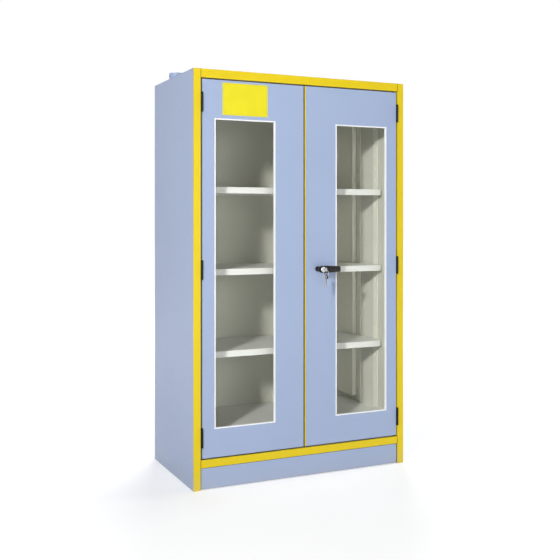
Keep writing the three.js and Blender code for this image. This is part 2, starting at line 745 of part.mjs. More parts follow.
function doorGlass(side) {
  const pane = slab(paneRect(side), GLASS_SETBACK, GLASS_SETBACK + GLASS_THICKNESS);
  return piece(`${sideName(side)}_door_glass`, pane, FINISH.glass);
}

function windowTrim(side) {
  const outer = windowRect(side);
  const flange = slab(outer, -TRIM_FACE - FIT, -FIT);
  const barrel = slab(inset(outer, TRIM_WIDTH - TRIM_WALL), -TRIM_FACE, GLASS_SETBACK - FIT);
  const sight = slab(inset(outer, TRIM_WIDTH), -2 * TRIM_FACE, GLASS_SETBACK + FIT);
  return piece(`${sideName(side)}_window_trim`, cut(join(flange, barrel), sight), FINISH.trimWhite);
}

function meetingStrip() {
  const strip = block(
    DOOR_MEETING_EDGE, DOOR_MEETING_EDGE + MEETING_STRIP_THICKNESS, 0, DOOR_THICKNESS, DOOR_BOTTOM, DOOR_TOP,
  );
  return piece("meeting_strip", strip, FINISH.yellowPaint);
}

// Lift-off hinges

function hingeCentres() {
  const low = DOOR_BOTTOM + HINGE_END_MARGIN + HINGE_HEIGHT / 2;
  const high = DOOR_TOP - HINGE_END_MARGIN - HINGE_TOP_EXTRA - HINGE_HEIGHT / 2;
  return [low, (low + high) / 2, high];
}

function hingeAxis(side) {
  const x = side * (POST_INNER - DOOR_HINGE_GAP / 2);
  return [x, -KNUCKLE_RADIUS - KNUCKLE_STANDOFF];
}

// Leaf, and the tab that joins it to its own knuckle.
function hingeLeaf(x0, x1, side, height, knuckle0, knuckle1) {
  const [, axisY] = hingeAxis(side);
  const leafFront = axisY + KNUCKLE_RADIUS + HINGE_LEAF_CLEARANCE;
  const bottom = height - HINGE_HEIGHT / 2;
  const leaf = block(x0, x1, leafFront, HINGE_LEAF_DEPTH, bottom, bottom + HINGE_HEIGHT);
  const tab = block(x0, x1, axisY, leafFront + HINGE_LEAF_THICKNESS, knuckle0, knuckle1);
  return join(leaf, tab);
}

function hingeFrameHalf(side, height, name) {
  const axis = hingeAxis(side);
  const bottom = height - HINGE_HEIGHT / 2;
  const top = height - FIT / 2;
  const outer = side * (POST_INNER - FIT);
  const inner = side * (POST_INNER - FIT - HINGE_LEAF_THICKNESS);
  const leaf = hingeLeaf(inner, outer, side, height, bottom, top);
  const knuckle = bar("z", KNUCKLE_RADIUS, axis, bottom, top, SMALL_SIDES);
  const pinTop = height + HINGE_HEIGHT / 2 - PIN_END_GAP;
  const pin = bar("z", HINGE_PIN_RADIUS, axis, height - PIN_END_GAP, pinTop, SMALL_SIDES);
  return piece(`${sideName(side)}_hinge_pin_${name}`, join(leaf, knuckle, pin), FINISH.blackSteel);
}

function hingeDoorHalf(side, height, name) {
  const axis = hingeAxis(side);
  const bottom = height + FIT / 2;
  const top = height + HINGE_HEIGHT / 2;
  const inner = side * (DOOR_HINGE_EDGE + FIT);
  const outer = side * (DOOR_HINGE_EDGE + FIT + HINGE_LEAF_THICKNESS);
  const leaf = hingeLeaf(inner, outer, side, height, bottom, top);
  const knuckle = bar("z", KNUCKLE_RADIUS, axis, bottom, top, SMALL_SIDES);
  const bore = bar("z", HINGE_PIN_RADIUS + FIT, axis, bottom - FIT, top + FIT, SMALL_SIDES);
  return piece(`${sideName(side)}_hinge_leaf_${name}`, cut(join(leaf, knuckle), bore), FINISH.blackSteel);
}

const HINGE_NAMES = ["bottom", "middle", "top"];

function hingeFrameHalves(side) {
  return hingeCentres().map((height, i) => hingeFrameHalf(side, height, HINGE_NAMES[i]));
}

function hingeDoorHalves(side) {
  return hingeCentres().map((height, i) => hingeDoorHalf(side, height, HINGE_NAMES[i]));
}

function leftDoor() {
  return group(doorSkin(LEFT), doorBoard(LEFT), doorGlass(LEFT), windowTrim(LEFT), ...hingeDoorHalves(LEFT));
}

function rightDoor() {
  return group(
    doorSkin(RIGHT), doorBoard(RIGHT), doorGlass(RIGHT), windowTrim(RIGHT), meetingStrip(),
    ...hingeDoorHalves(RIGHT),
  );
}

// Handle and lock, on one axis square to the right door

function turnedAlongY(points, sides) {
  const profile = points.map(([r, y]) => new THREE.Vector2(r, y));
  return new THREE.LatheGeometry(profile, sides).translate(LOCK_X, 0, LOCK_HEIGHT);
}

function handleRose() {
  const disc = bar("y", ROSE_RADIUS, [LOCK_X, LOCK_HEIGHT], -ROSE_THICKNESS - FIT, -FIT, ROUND_SIDES);
  const bore = spindleBore(-2 * ROSE_THICKNESS, FIT);
  return piece("handle_rose", cut(disc, bore), FINISH.blackPlastic);
}

function hubBody() {
  const headBack = HUB_FRONT + HUB_HEAD_LENGTH;
  const edge = 2;
  return turnedAlongY([
    [0, HUB_FRONT],
    [HUB_HEAD_RADIUS - edge, HUB_FRONT],
    [HUB_HEAD_RADIUS, HUB_FRONT + 2 * edge],
    [HUB_HEAD_RADIUS, headBack - edge],
    [HUB_HEAD_RADIUS - edge, headBack],
    [HUB_NECK_RADIUS, headBack + 4 * edge],
    [HUB_NECK_RADIUS, HUB_BACK - 3 * edge],
    [HUB_FOOT_RADIUS, HUB_BACK - edge],
    [HUB_FOOT_RADIUS, HUB_BACK],
    [0, HUB_BACK],
  ], ROUND_SIDES);
}

function handleLever() {
  const tongue = block(
    LOCK_X, LOCK_X + HUB_HEAD_RADIUS + TONGUE_LENGTH,
    HUB_MIDDLE - TONGUE_THICKNESS / 2, HUB_MIDDLE + TONGUE_THICKNESS / 2,
    LOCK_HEIGHT - TONGUE_HEIGHT / 2, LOCK_HEIGHT + TONGUE_HEIGHT / 2,
  );
  const spindle = block(
    LOCK_X - SPINDLE_WIDTH / 2, LOCK_X + SPINDLE_WIDTH / 2,
    HUB_MIDDLE + HUB_HEAD_LENGTH, ROD_FRONT + ROD_THICKNESS + SPINDLE_PLAY,
    LOCK_HEIGHT - SPINDLE_WIDTH / 2, LOCK_HEIGHT + SPINDLE_WIDTH / 2,
  );
  const plugBore = bar(
    "y", PLUG_RADIUS + FIT, [LOCK_X, LOCK_HEIGHT], HUB_FRONT - FIT, HUB_FRONT + PLUG_LENGTH + FIT, SMALL_SIDES,
  );
  return piece("handle_lever", cut(join(hubBody(), tongue, spindle), plugBore), FINISH.chrome);
}

// Oval bar that fits round the hub, tapers towards a rounded end and takes the lever's tongue.
function handleGrip() {
  const start = LOCK_X + GRIP_START;
  const radius = GRIP_HEIGHT / 2;
  const endRadius = radius * GRIP_TAPER;
  const domeSteps = 4;
  const domeLength = endRadius * 0.45;
  const profile = [[0, 0], [radius * 0.94, 0], [radius, radius * 0.12]];
  for (let i = 0; i <= domeSteps; i += 1) {
    const turn = (i / domeSteps) * (Math.PI / 2);
    const along = GRIP_LENGTH - domeLength + domeLength * Math.sin(turn);
    profile.push([i === domeSteps ? 0 : endRadius * Math.cos(turn), along]);
  }
  const body = new THREE.LatheGeometry(profile.map(([r, a]) => new THREE.Vector2(r, a)), ROUND_SIDES)
    .rotateZ(-Math.PI / 2)
    .scale(1, GRIP_DEPTH / GRIP_HEIGHT, 1)
    .translate(start, HUB_MIDDLE, LOCK_HEIGHT);
  const pocket = block(
    LOCK_X, LOCK_X + HUB_HEAD_RADIUS + TONGUE_LENGTH + FIT,
    HUB_MIDDLE - TONGUE_THICKNESS / 2 - FIT, HUB_MIDDLE + TONGUE_THICKNESS / 2 + FIT,
    LOCK_HEIGHT - TONGUE_HEIGHT / 2 - FIT, LOCK_HEIGHT + TONGUE_HEIGHT / 2 + FIT,
  );
  const hubSeat = bar(
    "y", HUB_HEAD_RADIUS + FIT, [LOCK_X, LOCK_HEIGHT],
    HUB_MIDDLE - GRIP_DEPTH, HUB_MIDDLE + GRIP_DEPTH, ROUND_SIDES,
  );
  return piece("handle_grip", cut(body, pocket, hubSeat), FINISH.blackPlastic);
}

function lockPlug() {
  const plug = bar("y", PLUG_RADIUS, [LOCK_X, LOCK_HEIGHT], HUB_FRONT, HUB_FRONT + PLUG_LENGTH, SMALL_SIDES);
  const halfWidth = KEY_THICKNESS / 2 + FIT;
  const halfHeight = KEY_BLADE_HEIGHT / 2 + FIT;
  const keyway = block(
    LOCK_X - halfWidth, LOCK_X + halfWidth,
    HUB_FRONT - FIT, HUB_FRONT + KEY_BLADE_DEPTH + FIT,
    LOCK_HEIGHT - halfHeight, LOCK_HEIGHT + halfHeight,
  );
  return piece("lock_plug", cut(plug, keyway), FINISH.chrome);
}

function key() {
  const x0 = LOCK_X - KEY_THICKNESS / 2;
  const x1 = LOCK_X + KEY_THICKNESS / 2;
  const bowCentre = HUB_FRONT - KEY_BLADE_REACH - KEY_BOW_RADIUS;
  const blade = block(
    x0, x1, bowCentre + KEY_BOW_RADIUS / 2, HUB_FRONT + KEY_BLADE_DEPTH,
    LOCK_HEIGHT - KEY_BLADE_HEIGHT / 2, LOCK_HEIGHT + KEY_BLADE_HEIGHT / 2,
  );
  const bow = bar("x", KEY_BOW_RADIUS, [bowCentre, LOCK_HEIGHT], x0, x1, SMALL_SIDES);
  const hole = bar("x", KEY_HOLE_RADIUS, [bowCentre, LOCK_HEIGHT], x0 - FIT, x1 + FIT, SMALL_SIDES);
  return piece("lock_key", cut(join(blade, bow), hole), FINISH.chrome);
}

// Corners of one straight-sided tooth that points along +a and stands at b.
function tooth(base, tip, b) {
  return [
    [base, b - TOOTH_ROOT_WIDTH / 2], [tip, b - TOOTH_TIP_WIDTH / 2],
    [tip, b + TOOTH_TIP_WIDTH / 2], [base, b + TOOTH_ROOT_WIDTH / 2],
  ];
}

function pinion() {
  const points = [];
  for (let i = 0; i < PINION_TEETH; i += 1) {
    const turn = (i / PINION_TEETH) * 2 * Math.PI;
    for (const [a, b] of tooth(PITCH_RADIUS - TOOTH_DEDENDUM, PITCH_RADIUS + TOOTH_ADDENDUM, 0)) {
      points.push([
        LOCK_X + a * Math.cos(turn) - b * Math.sin(turn),
        LOCK_HEIGHT + a * Math.sin(turn) + b * Math.cos(turn),
      ]);
    }
  }
  const half = SPINDLE_WIDTH / 2 + FIT;
  const bore = rectangle(LOCK_X - half, LOCK_X + half, LOCK_HEIGHT - half, LOCK_HEIGHT + half);
  const wheel = alongY(outline(points, [bore]), ROD_FRONT, ROD_FRONT + ROD_THICKNESS);
  return piece("drive_pinion", wheel, FINISH.zinc);
}

// End is 1 for the upper rod, left of the pinion, and -1 for the lower rod, right of it.
function lockRod(end) {
  const toothPitch = (2 * Math.PI * PITCH_RADIUS) / PINION_TEETH;
  const root = PITCH_RADIUS + TOOTH_DEDENDUM;
  const far = root + ROD_WIDTH;
  const tip = PITCH_RADIUS - TOOTH_ADDENDUM;
  const doorEnd = end === 1 ? DOOR_TOP - LOCK_HEIGHT : LOCK_HEIGHT - DOOR_BOTTOM;
  const outerEnd = doorEnd - ROD_END_SETBACK;
  const firstTooth = toothPitch / 2;
  const innerEnd = firstTooth - RACK_TEETH * toothPitch;
  const points = [[far, innerEnd], [far, outerEnd], [root, outerEnd]];
  for (let i = 0; i < RACK_TEETH; i += 1) {
    points.push(...tooth(root, tip, firstTooth - i * toothPitch).reverse());
  }
  points.push([root, innerEnd]);
  const placed = points.map(([a, b]) => [LOCK_X - end * a, LOCK_HEIGHT + end * b]);
  const rod = alongY(outline(placed), ROD_FRONT, ROD_FRONT + ROD_THICKNESS);
  return piece(end === 1 ? "upper_rod" : "lower_rod", rod, FINISH.zinc);
}

const casing = group(
  sidePanel(LEFT), sidePanel(RIGHT), backPanel(), roofPanel(), basePlate(), plinthPanel(),
  post(LEFT), post(RIGHT), topRail(), bottomRail(),
);
const interior = group(fireBoards(), doorSeal(), spillTray(), trayCover(), uprights());
for (let i = 0; i < SHELF_COUNT; i += 1) {
  interior.add(shelf(i));
}
const ventilation = group(
  airDuct(LEFT), airDuct(RIGHT), airCollar(LEFT), airCollar(RIGHT), damper(LEFT), damper(RIGHT),
);
const frameHinges = group(...hingeFrameHalves(LEFT), ...hingeFrameHalves(RIGHT));
const lock = group(
  handleRose(), handleLever(), handleGrip(), lockPlug(), key(), pinion(), lockRod(1), lockRod(-1),
);

const cabinet = group(casing, interior, ventilation, frameHinges, leftDoor(), rightDoor(), lock);
cabinet.position.y = (KEY_REACH - CASE_DEPTH) / 2;

export default cabinet;
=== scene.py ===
import json
import math

import bmesh
import bpy
from bpy.props import FloatProperty, FloatVectorProperty, IntProperty, PointerProperty
from bpy.types import Operator, Panel, PropertyGroup
from mathutils import Matrix, Vector

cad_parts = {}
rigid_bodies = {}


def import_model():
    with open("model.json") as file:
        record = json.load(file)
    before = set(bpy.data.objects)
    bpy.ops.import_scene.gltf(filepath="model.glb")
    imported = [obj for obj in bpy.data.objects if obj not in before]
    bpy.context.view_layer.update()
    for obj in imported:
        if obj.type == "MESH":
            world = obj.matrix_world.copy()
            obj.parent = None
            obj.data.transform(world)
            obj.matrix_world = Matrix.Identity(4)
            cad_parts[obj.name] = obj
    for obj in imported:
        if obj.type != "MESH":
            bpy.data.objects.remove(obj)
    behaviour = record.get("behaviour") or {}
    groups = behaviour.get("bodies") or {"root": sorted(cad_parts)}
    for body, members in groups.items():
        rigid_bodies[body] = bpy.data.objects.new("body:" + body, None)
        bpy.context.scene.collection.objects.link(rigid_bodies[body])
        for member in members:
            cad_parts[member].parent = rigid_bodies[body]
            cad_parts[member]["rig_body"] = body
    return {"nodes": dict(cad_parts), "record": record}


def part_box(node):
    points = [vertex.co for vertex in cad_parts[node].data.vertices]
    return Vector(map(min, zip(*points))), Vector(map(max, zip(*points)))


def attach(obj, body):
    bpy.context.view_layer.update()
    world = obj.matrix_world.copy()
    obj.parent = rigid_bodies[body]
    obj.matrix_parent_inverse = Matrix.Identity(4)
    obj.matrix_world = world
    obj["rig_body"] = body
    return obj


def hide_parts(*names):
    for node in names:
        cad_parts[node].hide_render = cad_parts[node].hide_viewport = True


bl_info = {
    "name": "Safety Cabinet",
    "version": (1, 0, 0),
    "blender": (4, 5, 0),
    "location": "3D View > Sidebar > Cabinet",
    "description": "Finishes the fire-resistant storage cabinet on its packed frame",
    "category": "Add Mesh",
}

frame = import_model()
NODES = frame["nodes"]
SLOTS = {row["node"]: row["material_slot"] for row in frame["record"]["subparts"]}
SIDES = ("left", "right")
FULL_TURN = 2 * math.pi

# Groups of solids that are finished the same way

PANELS = (
    "left_side_panel", "right_side_panel", "back_panel", "roof_panel", "base_plate", "plinth_panel",
)
FRONT_FRAME = ("left_post", "right_post", "top_rail", "bottom_rail")
BOARDS = (
    "left_wall_board", "right_wall_board", "back_wall_board", "floor_board", "ceiling_board",
    "left_door_board", "right_door_board",
)
FITTINGS = ("spill_tray", "tray_cover", "shelf_1", "shelf_2", "shelf_3")
WALL_FITTINGS = (
    "left_front_upright", "left_rear_upright", "right_front_upright", "right_rear_upright",
    "left_air_duct", "right_air_duct",
)
DOOR_SHEETS = (
    "left_door_skin", "right_door_skin", "left_window_trim", "right_window_trim", "meeting_strip",
)
HINGES = tuple(
    f"{side}_hinge_{half}_{place}"
    for side in SIDES for half in ("pin", "leaf") for place in ("bottom", "middle", "top")
)
LOCK_WORKS = ("drive_pinion", "upper_rod", "lower_rod")
HANDLE = ("handle_rose", "lock_plug", "lock_key")

# Tolerances and shares of the mesh work, in metres and radians

MERGE_GAP = 2e-6
FLAT_ANGLE = math.radians(0.6)
SHARP_ANGLE = math.radians(31)
# The largest share of a face's width that its rounded edge may take.
ROUND_SHARE = 0.34
# The same on the front frame.
FRONT_SHARE = 0.8
# The gap that keeps a part clear of the face it is put on.
FIT = 0.0003
# The folds inside have this share of the radius of the case's folds.
INSIDE_SHARE = 0.75

# Meeting strip's seal and glazing beads

SEAL_END_INSET = 0.0022
SEAL_SETBACK = 0.010
SEAL_DEPTH = 0.018
SEAL_LIP_SHARE = 0.45
BEAD_ROUND_SHARE = 0.6

# Roof collars. The stop bead is a half round, and the weld is a hollow fillet.

COLLAR_RADIUS = 0.0375
COLLAR_WALL = 0.0015
COLLAR_EASE = 0.0006
COLLAR_RIM_SHARE = 0.35
FLANGE_SHEET = 0.002
FLANGE_UNDER_EASE = 0.0005
WELD_WIDTH, WELD_HEIGHT = 0.0012, 0.0014
WELD_HOLLOW_OUT, WELD_HOLLOW_UP = 0.0003, 0.0004
STOP_FROM_RIM = 0.014
STOP_HALF_WIDTH = 0.003
STOP_HEIGHT = 0.0014
STOP_STEPS = 6
RIVET_COUNT = 6
RIVET_RADIUS, RIVET_HEIGHT = 0.0026, 0.0011

# Bare plate on the left door, by its upper left corner

PLATE_LEFT, PLATE_TOP = -0.427, 1.891
PLATE_CORNER = 0.004
PLATE_RIM_SHARE = 0.4
PLATE_LINE = (0.035, 0.03, 0.02, 1)
PLATE_LINE_SHARE = 0.14

# Lock, key ring and spare keys

BEZEL_RADIUS = 0.0122
# Each point is its distance from the bezel's outer or inner radius, and its height.
BEZEL_OUTSIDE = ((0.0, 0.0), (0.0, 0.0008), (-0.0004, 0.0014), (-0.0016, 0.0018))
BEZEL_INSIDE = ((0.002, 0.0014), (0.0004, 0.0008), (0.0, 0.0005))
LOCK_KEY_BOW = 0.011
LOCK_KEY_HOLE = 0.0035
WIRE_STEPS = 12
BOW_STEPS = 40
# How far the spare keys are turned on their ring, in degrees.
KEY_TURN = 22
KEY_EYE = 0.0036
BOW_HALF_SHEET = 0.0012
BOW_RIM_SHARE, BOW_FACE_SHARE, BLADE_ROOT_SHARE = 0.6, 0.4, 0.6
BLADE_HALF_WIDTH, BLADE_HALF_SHEET = 0.0037, 0.001
BLADE_TIP_RADIUS = 0.0022
# Name, place along the ring, lean in degrees, bow radius, blade length and the bow's finish.
SPARE_KEYS = (
    ("spare_key", 0.0026, -7, 0.0108, 0.026, "black_plastic"),
    ("shelf_key", -0.0026, 3, 0.0086, 0.044, "zinc_steel"),
)

# Screws. A head's profile is in shares of its radius and height, from the socket outwards.

HEAD_PROFILE = (
    (0.0, 0.25), (0.42, 0.25), (0.46, 1.0), (0.72, 0.9), (0.94, 0.5), (1.0, 0.0), (0.0, 0.0),
)
HEAD_STEPS = 12
SCREW_HEIGHT = 0.0014
SCREW_INSET, SCREW_SIDE_INSET = 0.016, 0.04
SCREW_ROWS, SCREW_COLUMNS = 8, 4

# Stage. The lamps are given by name, azimuth, elevation, distance and size.

LAMPS = (
    ("key_lamp", 44, 19, 8.0, 0.7),
    ("front_lamp", 6, 4, 6.5, 2.5),
    ("left_lamp", 95, 15, 7.0, 3.0),
    ("right_lamp", -88, 18, 7.0, 3.0),
    ("back_lamp", 205, 24, 7.0, 3.0),
)
LAMP_TARGET = (0, 0, 1)
FLOOR_HALF = 40
FLOOR_DARK, FLOOR_LIGHT = 0.79, 0.82
GLOW_NEAR, GLOW_FAR, FAR_GLOW = 1.2, 5.0, 1.0
CAMERA_PLACE = (-1.895, -4.0282, 1.253)
CAMERA_AZIMUTH = -25.06
CAMERA_SHIFT = -0.1084
SENSOR_WIDTH = 36

# Shading: a noise texture's middle band, and the places of a Mix node's colour sockets

MIDDLE_BAND = (0.3, 0.7)
MIX_COLOURS = (6, 7)
MIX_RESULT = 2


class CabinetSizes(PropertyGroup):
    """Edge radii of the finished solids, and sizes of the pieces that are added to them."""

    fold_radius: FloatProperty(
        name="Fold radius", description="Outer radius of the folded sheet edges",
        default=0.0016, unit="LENGTH",
    )
    board_radius: FloatProperty(
        name="Board edge radius", description="Radius that takes the sharpness off a board's edge",
        default=0.0008, unit="LENGTH",
    )
    fitting_radius: FloatProperty(
        name="Fitting edge radius", description="Radius of the edges of small fittings",
        default=0.0006, unit="LENGTH",
    )
    plate_width: FloatProperty(
        name="Plate width", description="Width of the bare plate on the left door",
        default=0.230, unit="LENGTH",
    )
    plate_height: FloatProperty(
        name="Plate height", description="Height of the bare plate on the left door",
        default=0.151, unit="LENGTH",
    )
    plate_thickness: FloatProperty(
        name="Plate thickness", description="Thickness of the bare plate on the left door",
        default=0.0007, unit="LENGTH",
    )
    ring_radius: FloatProperty(
        name="Key ring radius", description="Radius of the key ring to the middle of its wire",
        default=0.015, unit="LENGTH",
    )
    ring_wire: FloatProperty(
        name="Ring wire", description="Diameter of the key ring's wire",
        default=0.0016, unit="LENGTH",
    )
    # Width of the dark strips at the frame's joints and along the plinth; these are partly painted
    # shade.
    joint_shade_line: FloatProperty(
        name="Joint line", description="Width of the sealant lines at the rails and the plinth",
        default=0.0024, unit="LENGTH",
    )
    strip_seal: FloatProperty(
        name="Strip seal", description="How far the seal on the meeting strip stands into the gap",
        default=0.0022, unit="LENGTH",
    )
    screw_radius: FloatProperty(
        name="Screw head radius", description="Radius of the domed screw heads",
        default=0.0042, unit="LENGTH",
    )
    bead_width: FloatProperty(
        name="Glazing bead width", description="Width of the bead behind each pane",
        default=0.009, unit="LENGTH",
    )
    pane_seat: FloatProperty(
        name="Pane seat", description="How far the board's rear hole lies inside the pane's edge",
        default=0.005, unit="LENGTH",
    )
    round_steps: IntProperty(
        name="Steps round a turn", description="Steps in a full turn of the round pieces",
        default=72,
    )


def tint(name, description, colour):
    """A colour property with its name, description and default."""
    return FloatVectorProperty(
        name=name, description=description, subtype="COLOR", size=3, min=0, max=1, default=colour,
    )


class CabinetColours(PropertyGroup):
    """Colours of the finishes, in linear light."""

    blue: tint("Blue", "Powder coat of the case and doors", (0.325, 0.400, 0.572))
    yellow: tint("Yellow", "Powder coat of the front frame", (0.69, 0.52, 0.003))
    white: tint("White", "Powder coat of the shelves and the floor cover", (0.78, 0.78, 0.745))
    board: tint("Board", "Face of the fire-resistant boards", (0.64, 0.635, 0.555))
    wall: tint("Wall fittings", "Powder coat of the uprights and air ducts", (0.79, 0.785, 0.69))
    trim: tint("Trim", "Window trims and glazing beads", (0.90, 0.905, 0.915))
    plate: tint("Plate", "Bare plate on the left door", (0.72, 0.63, 0.005))
    black: tint("Black", "Hinges", (0.005, 0.005, 0.0045))
    plastic: tint("Plastic", "Lever, grip, rose and a spare key's bow", (0.008, 0.006, 0.005))
    # The dark strips at the frame's joints and along the plinth take this colour too; they are
    # partly painted shade.
    rubber: tint("Rubber", "Seals of the doors and the sealant lines", (0.005, 0.005, 0.004))
    zinc: tint("Zinc", "Tray, rods, dampers, screws and spare keys", (0.52, 0.53, 0.54))
    chrome: tint("Chrome", "Lock, its key and the key ring", (0.74, 0.74, 0.73))
    dust: tint("Dust", "Floor dust on the lowest edges", (0.42, 0.40, 0.37))


class CabinetStage(PropertyGroup):
    """Light and camera of the stage."""

    key_power: FloatProperty(
        name="Key lamp", description="Power of the lamp at the front left",
        default=470, unit="POWER",
    )
    front_power: FloatProperty(
        name="Front lamp", description="Power of the soft lamp in front",
        default=92, unit="POWER",
    )
    left_power: FloatProperty(
        name="Left lamp", description="Power of the lamp at the left side",
        default=10, unit="POWER",
    )
    right_power: FloatProperty(
        name="Right lamp", description="Power of the lamp at the right side",
        default=206, unit="POWER",
    )
    back_power: FloatProperty(
        name="Back lamp", description="Power of the lamp behind the cabinet",
        default=350, unit="POWER",
    )
    ambient: FloatProperty(
        name="Ambient", description="Strength of the light from all round", default=0.135,
    )
    floor_glow: FloatProperty(
        name="Floor glow", description="Share of white that the floor adds near the cabinet",
        default=0.34, min=0, max=1,
    )
    focal_length: FloatProperty(
        name="Focal length", description="Camera focal length on a 36 mm sensor", default=55.67,
    )


def sizes():
    return bpy.context.scene.cabinet_sizes


def colours():
    return bpy.context.scene.cabinet_colours


# Node trees


class Graph:
    """Adds and links the nodes of one node tree."""

    def __init__(self, tree):
        self.tree = tree

    def add(self, kind, inputs=None, **settings):
        """A node with its settings and its inputs, each a value or a socket to link."""
        node = self.tree.nodes.new(kind)
        for name, value in settings.items():
            setattr(node, name, value)
        for name, value in (inputs or {}).items():
            if isinstance(value, bpy.types.NodeSocket):
                self.tree.links.new(value, node.inputs[name])
            else:
                node.inputs[name].default_value = value
        return node

    def math(self, operation, *values, clamp=False):
        """The output of a Math node."""
        inputs = dict(enumerate(values))
        return self.add("ShaderNodeMath", inputs, operation=operation, use_clamp=clamp).outputs[0]

    def ranged(self, value, low, high, to_low, to_high, smooth=False):
        """value moved from low and high to to_low and to_high."""
        inputs = {
            "Value": value, "From Min": low, "From Max": high, "To Min": to_low, "To Max": to_high,
        }
        interpolation = "SMOOTHSTEP" if smooth else "LINEAR"
        node = self.add("ShaderNodeMapRange", inputs, interpolation_type=interpolation)
        return node.outputs["Result"]

    def noise(self, vector, scale, detail=3.0, roughness=0.5):
        """The value of a noise texture."""
        inputs = {"Vector": vector, "Scale": scale, "Detail": detail, "Roughness": roughness}
        return self.add("ShaderNodeTexNoise", inputs).outputs["Fac"]

    def place(self):
        """The surface's place in the cabinet's own frame."""
        return self.add("ShaderNodeTexCoord").outputs["Object"]

    def stretched(self, vector, scale):
        """vector with a pattern's grain drawn out along one way."""
        return self.add("ShaderNodeMapping", {"Vector": vector, "Scale": scale}).outputs["Vector"]

    def shaded(self, colour, value):
        """colour made lighter or darker by value."""
        inputs = {"Color": colour, "Value": value}
        return self.add("ShaderNodeHueSaturation", inputs).outputs["Color"]

    def mixed(self, share, first, second):
        """A mix of two colours."""
        inputs = {"Factor": share, **dict(zip(MIX_COLOURS, (first, second)))}
        return self.add("ShaderNodeMix", inputs, data_type="RGBA").outputs[MIX_RESULT]

    def bump(self, height, strength, distance):
        """The normal of a bumped surface."""
        inputs = {"Height": height, "Strength": strength, "Distance": distance}
        return self.add("ShaderNodeBump", inputs).outputs["Normal"]


def new_group(name, inputs, outputs):
    """An empty node group with its sockets, its graph and the outputs of its input node."""
    group = bpy.data.node_groups.new(name, "ShaderNodeTree")
    for label, kind, value in inputs:
        socket = group.interface.new_socket(label, in_out="INPUT", socket_type=kind)
        socket.default_value = value
    for label, kind in outputs:
        group.interface.new_socket(label, in_out="OUTPUT", socket_type=kind)
    graph = Graph(group)
    given = graph.add("NodeGroupInput").outputs
    return group, graph, given


COLOUR, NUMBER, VECTOR = "NodeSocketColor", "NodeSocketFloat", "NodeSocketVector"
SURFACE_OUTPUTS = (("Color", COLOUR), ("Roughness", NUMBER), ("Normal", VECTOR))


def sprayed_coat():
    """Powder coat: a faint mottle, a fine orange peel and a gloss that varies a little."""
    group, graph, given = new_group(
        "Sprayed Coat",
        (("Color", COLOUR, (0.5, 0.5, 0.5, 1)), ("Mottle", NUMBER, 0.02), ("Peel", NUMBER, 0.12),
         ("Smooth", NUMBER, 0.36), ("Rough", NUMBER, 0.46)),
        SURFACE_OUTPUTS,
    )
    place = graph.place()
    broad = graph.noise(place, scale=2.7, detail=4.0)
    fine = graph.noise(place, scale=55.0, detail=2.0)
    less = graph.math("SUBTRACT", 1.0, given["Mottle"])
    more = graph.math("ADD", 1.0, given["Mottle"])
    value = graph.ranged(broad, 0.33, 0.67, less, more, smooth=True)
    rough = graph.ranged(fine, *MIDDLE_BAND, given["Smooth"], given["Rough"])
    peel = graph.noise(place, scale=620.0, detail=1.0)
    pits = graph.noise(place, scale=2100.0, detail=0.0)
    height = graph.math("MULTIPLY_ADD", pits, 0.35, peel)
    graph.add("NodeGroupOutput", {
        "Color": graph.shaded(given["Color"], value),
        "Roughness": rough,
        "Normal": graph.bump(height, given["Peel"], distance=0.0004),
    })
    return group


def floor_dust():
    """A mask of the dust that gathers near the floor."""
    group, graph, given = new_group(
        "Floor Dust", (("Height", NUMBER, 0.09), ("Amount", NUMBER, 0.3)), (("Mask", NUMBER),),
    )
    place = graph.place()
    upward = graph.add("ShaderNodeSeparateXYZ", {"Vector": place}).outputs["Z"]
    patches = graph.ranged(graph.noise(place, scale=21.0, detail=5.0), 0.35, 0.7, 0.45, 1.0)
    low = graph.math("SUBTRACT", 1.0, graph.math("DIVIDE", upward, given["Height"]), clamp=True)
    mask = graph.math("MULTIPLY", graph.math("MULTIPLY", low, patches), given["Amount"], clamp=True)
    graph.add("NodeGroupOutput", {"Mask": mask})
    return group


def pressed_face():
    """The facing of a fire-resistant board: fine fibres, faint clouds and a soft tooth."""
    group, graph, given = new_group(
        "Pressed Face",
        (("Color", COLOUR, (0.7, 0.7, 0.65, 1)), ("Clouds", NUMBER, 0.03), ("Tooth", NUMBER, 0.2)),
        SURFACE_OUTPUTS,
    )
    place = graph.place()
    broad = graph.noise(place, scale=6.0, detail=5.0)
    clouds = graph.ranged(broad, *MIDDLE_BAND, -1.0, 1.0, smooth=True)
    fibres = graph.noise(graph.stretched(place, (260.0, 260.0, 34.0)), scale=1.0, detail=2.0)
    spread = graph.math("MULTIPLY_ADD", graph.ranged(fibres, *MIDDLE_BAND, -0.5, 0.5), 0.6, clouds)
    value = graph.math("MULTIPLY_ADD", spread, given["Clouds"], 1.0)
    tooth = graph.noise(place, scale=900.0, detail=2.0)
    graph.add("NodeGroupOutput", {
        "Color": graph.shaded(given["Color"], value),
        "Roughness": graph.ranged(fibres, *MIDDLE_BAND, 0.5, 0.64),
        "Normal": graph.bump(graph.math("ADD", tooth, fibres), given["Tooth"], distance=0.0003),
    })
    return group


